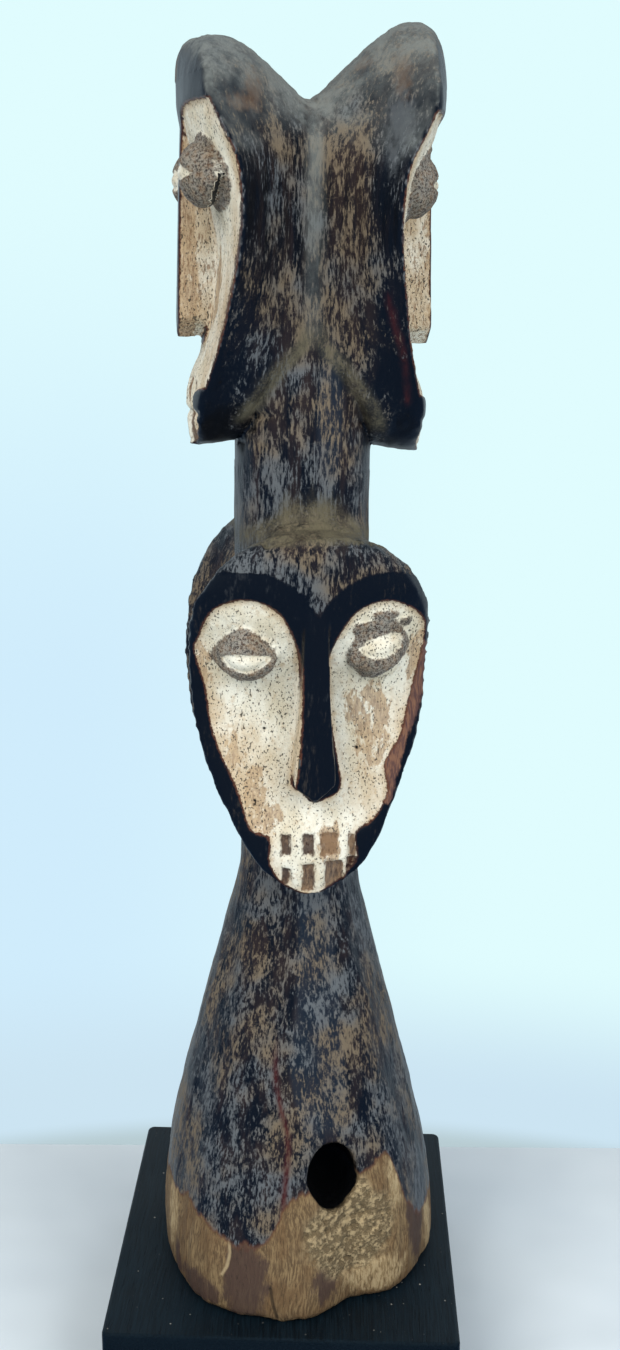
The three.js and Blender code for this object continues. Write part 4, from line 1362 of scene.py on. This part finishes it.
class CARVING_OT_stage(bpy.types.Operator):
    """Makes the camera, the floor and the soft light"""

    bl_idname = "carving.stage"
    bl_label = "Stage"

    def execute(self, context):
        sizes = settings().stage
        lens = bpy.data.cameras.new("camera")
        lens.sensor_width = 36
        lens.lens = sizes.focal_length
        lens.clip_start = 0.01
        camera = bpy.data.objects.new("camera", lens)
        context.scene.collection.objects.link(camera)
        camera.matrix_world = Matrix.Translation((0.00936, -0.28081, 0.23884)) @ camera_turn(1.206, 16.013, -0.808)
        context.scene.camera = camera

        body = bmesh.new()
        bmesh.ops.create_grid(body, x_segments=1, y_segments=1, size=0.5)
        bmesh.ops.scale(body, verts=body.verts, vec=(3.0, 1.8, 1.0))
        bmesh.ops.translate(body, verts=body.verts, vec=(0, 0.0665 - 0.9, 0))
        bmesh.ops.rotate(body, verts=body.verts, cent=(0, 0, 0), matrix=Matrix.Rotation(math.radians(1.9), 3, "Z"))
        floor = link(mesh_from(body, "floor"), "floor")
        floor.data.materials.append(linen(sizes))
        floor.visible_glossy = False
        self.light(context)
        context.scene.view_settings.view_transform = "Standard"
        self.world(context, sizes)
        return {"FINISHED"}

    def light(self, context):
        for name, place, aim, size, power, tone in (
                ("window", (-0.55, -0.75, 0.9), (0, 0, 0.15), 0.8, 12.0, (1.0, 0.98, 0.95)),
                ("room", (0.65, -0.65, 0.75), (0, 0, 0.12), 0.8, 9.0, (0.98, 0.99, 1.0))):
            lamp = bpy.data.lights.new(name, "AREA")
            lamp.size = size
            lamp.energy = power
            lamp.color = tone
            thing = bpy.data.objects.new(name, lamp)
            context.scene.collection.objects.link(thing)
            thing.location = place
            thing.rotation_euler = (Vector(aim) - Vector(place)).to_track_quat("-Z", "Y").to_euler()
            thing.visible_glossy = False

    def world(self, context, sizes):
        """A pale backdrop with painted shade towards the floor and a painted shadow band at its foot; what the gloss
        reflects is bright behind and above, dark navy in front.
        """
        world = bpy.data.worlds.new("studio")
        context.scene.world = world
        world.use_nodes = True
        tree = world.node_tree
        tree.nodes.clear()
        direction = put(tree, "ShaderNodeTexCoord").outputs["Generated"]
        parts = put(tree, "ShaderNodeSeparateXYZ", Vector=direction).outputs
        wall = tint(tree, fade(tree, parts["X"], -0.2, 0.12), sizes.wall_left, sizes.wall)
        wall = tint(tree, fade(tree, parts["Z"], -0.3, 0.1), wall, sizes.wall)
        # Painted shade low on the backdrop, and a painted shadow band at the floor's far edge
        wall = tint(tree, fade(tree, parts["Z"], -0.535, -0.45), sizes.wall_low_shade, wall)
        wall = tint(tree, fade(tree, parts["Z"], -0.562, -0.548), sizes.wall_foot_shadow, wall)
        seen = put(tree, "ShaderNodeBackground", Color=wall, Strength=1.0)
        behind = fade(tree, parts["Y"], 0.2, 0.7)
        above = fade(tree, parts["Z"], 0.2, 0.95, 0.0, 0.55)
        bright = calc(tree, "MAXIMUM", behind, above)
        reflected = tint(tree, bright, (0.05, 0.15, 0.36, 1.0), (0.72, 0.88, 0.97, 1.0))
        mirrored_light = put(tree, "ShaderNodeBackground", Color=reflected, Strength=0.95)
        ambient = put(tree, "ShaderNodeBackground", Color=(0.8, 0.9, 1.0, 1.0), Strength=0.42)
        path = put(tree, "ShaderNodeLightPath").outputs
        lit = put(tree, "ShaderNodeMixShader", n0=path["Is Glossy Ray"], n1=ambient.outputs[0],
                  n2=mirrored_light.outputs[0])
        both = put(tree, "ShaderNodeMixShader", n0=path["Is Camera Ray"], n1=lit.outputs[0], n2=seen.outputs[0])
        put(tree, "ShaderNodeOutputWorld", Surface=both.outputs[0])


class CARVING_PT_panel(bpy.types.Panel):
    """Lists the pieces of the carved figure"""

    bl_idname = "CARVING_PT_panel"
    bl_label = "Carved figure"
    bl_space_type = "VIEW_3D"
    bl_region_type = "UI"
    bl_category = "Carved figure"

    def draw(self, context):
        column = self.layout.column()
        for operator in OPERATORS:
            column.operator(operator.bl_idname)
        for group in (settings().figure, settings().finish, settings().plinth, settings().stage):
            box = column.box()
            for name in group.bl_rna.properties.keys():
                if name not in ("rna_type", "name"):
                    box.prop(group, name)


OPERATORS = (CARVING_OT_stage, CARVING_OT_plinth, CARVING_OT_figure)
CLASSES = (FigureSizes, FigureColours, PlinthSettings, StageSettings, CarvedFigureSettings, *OPERATORS,
           CARVING_PT_panel)


def register():
    for cls in CLASSES:
        bpy.utils.register_class(cls)
    bpy.types.Scene.carved_figure = PointerProperty(type=CarvedFigureSettings)


def unregister():
    del bpy.types.Scene.carved_figure
    for cls in reversed(CLASSES):
        bpy.utils.unregister_class(cls)


def main():
    register()
    bpy.ops.carving.stage()
    bpy.ops.carving.plinth()
    bpy.ops.carving.figure()


if __name__ == "__main__":
    main()
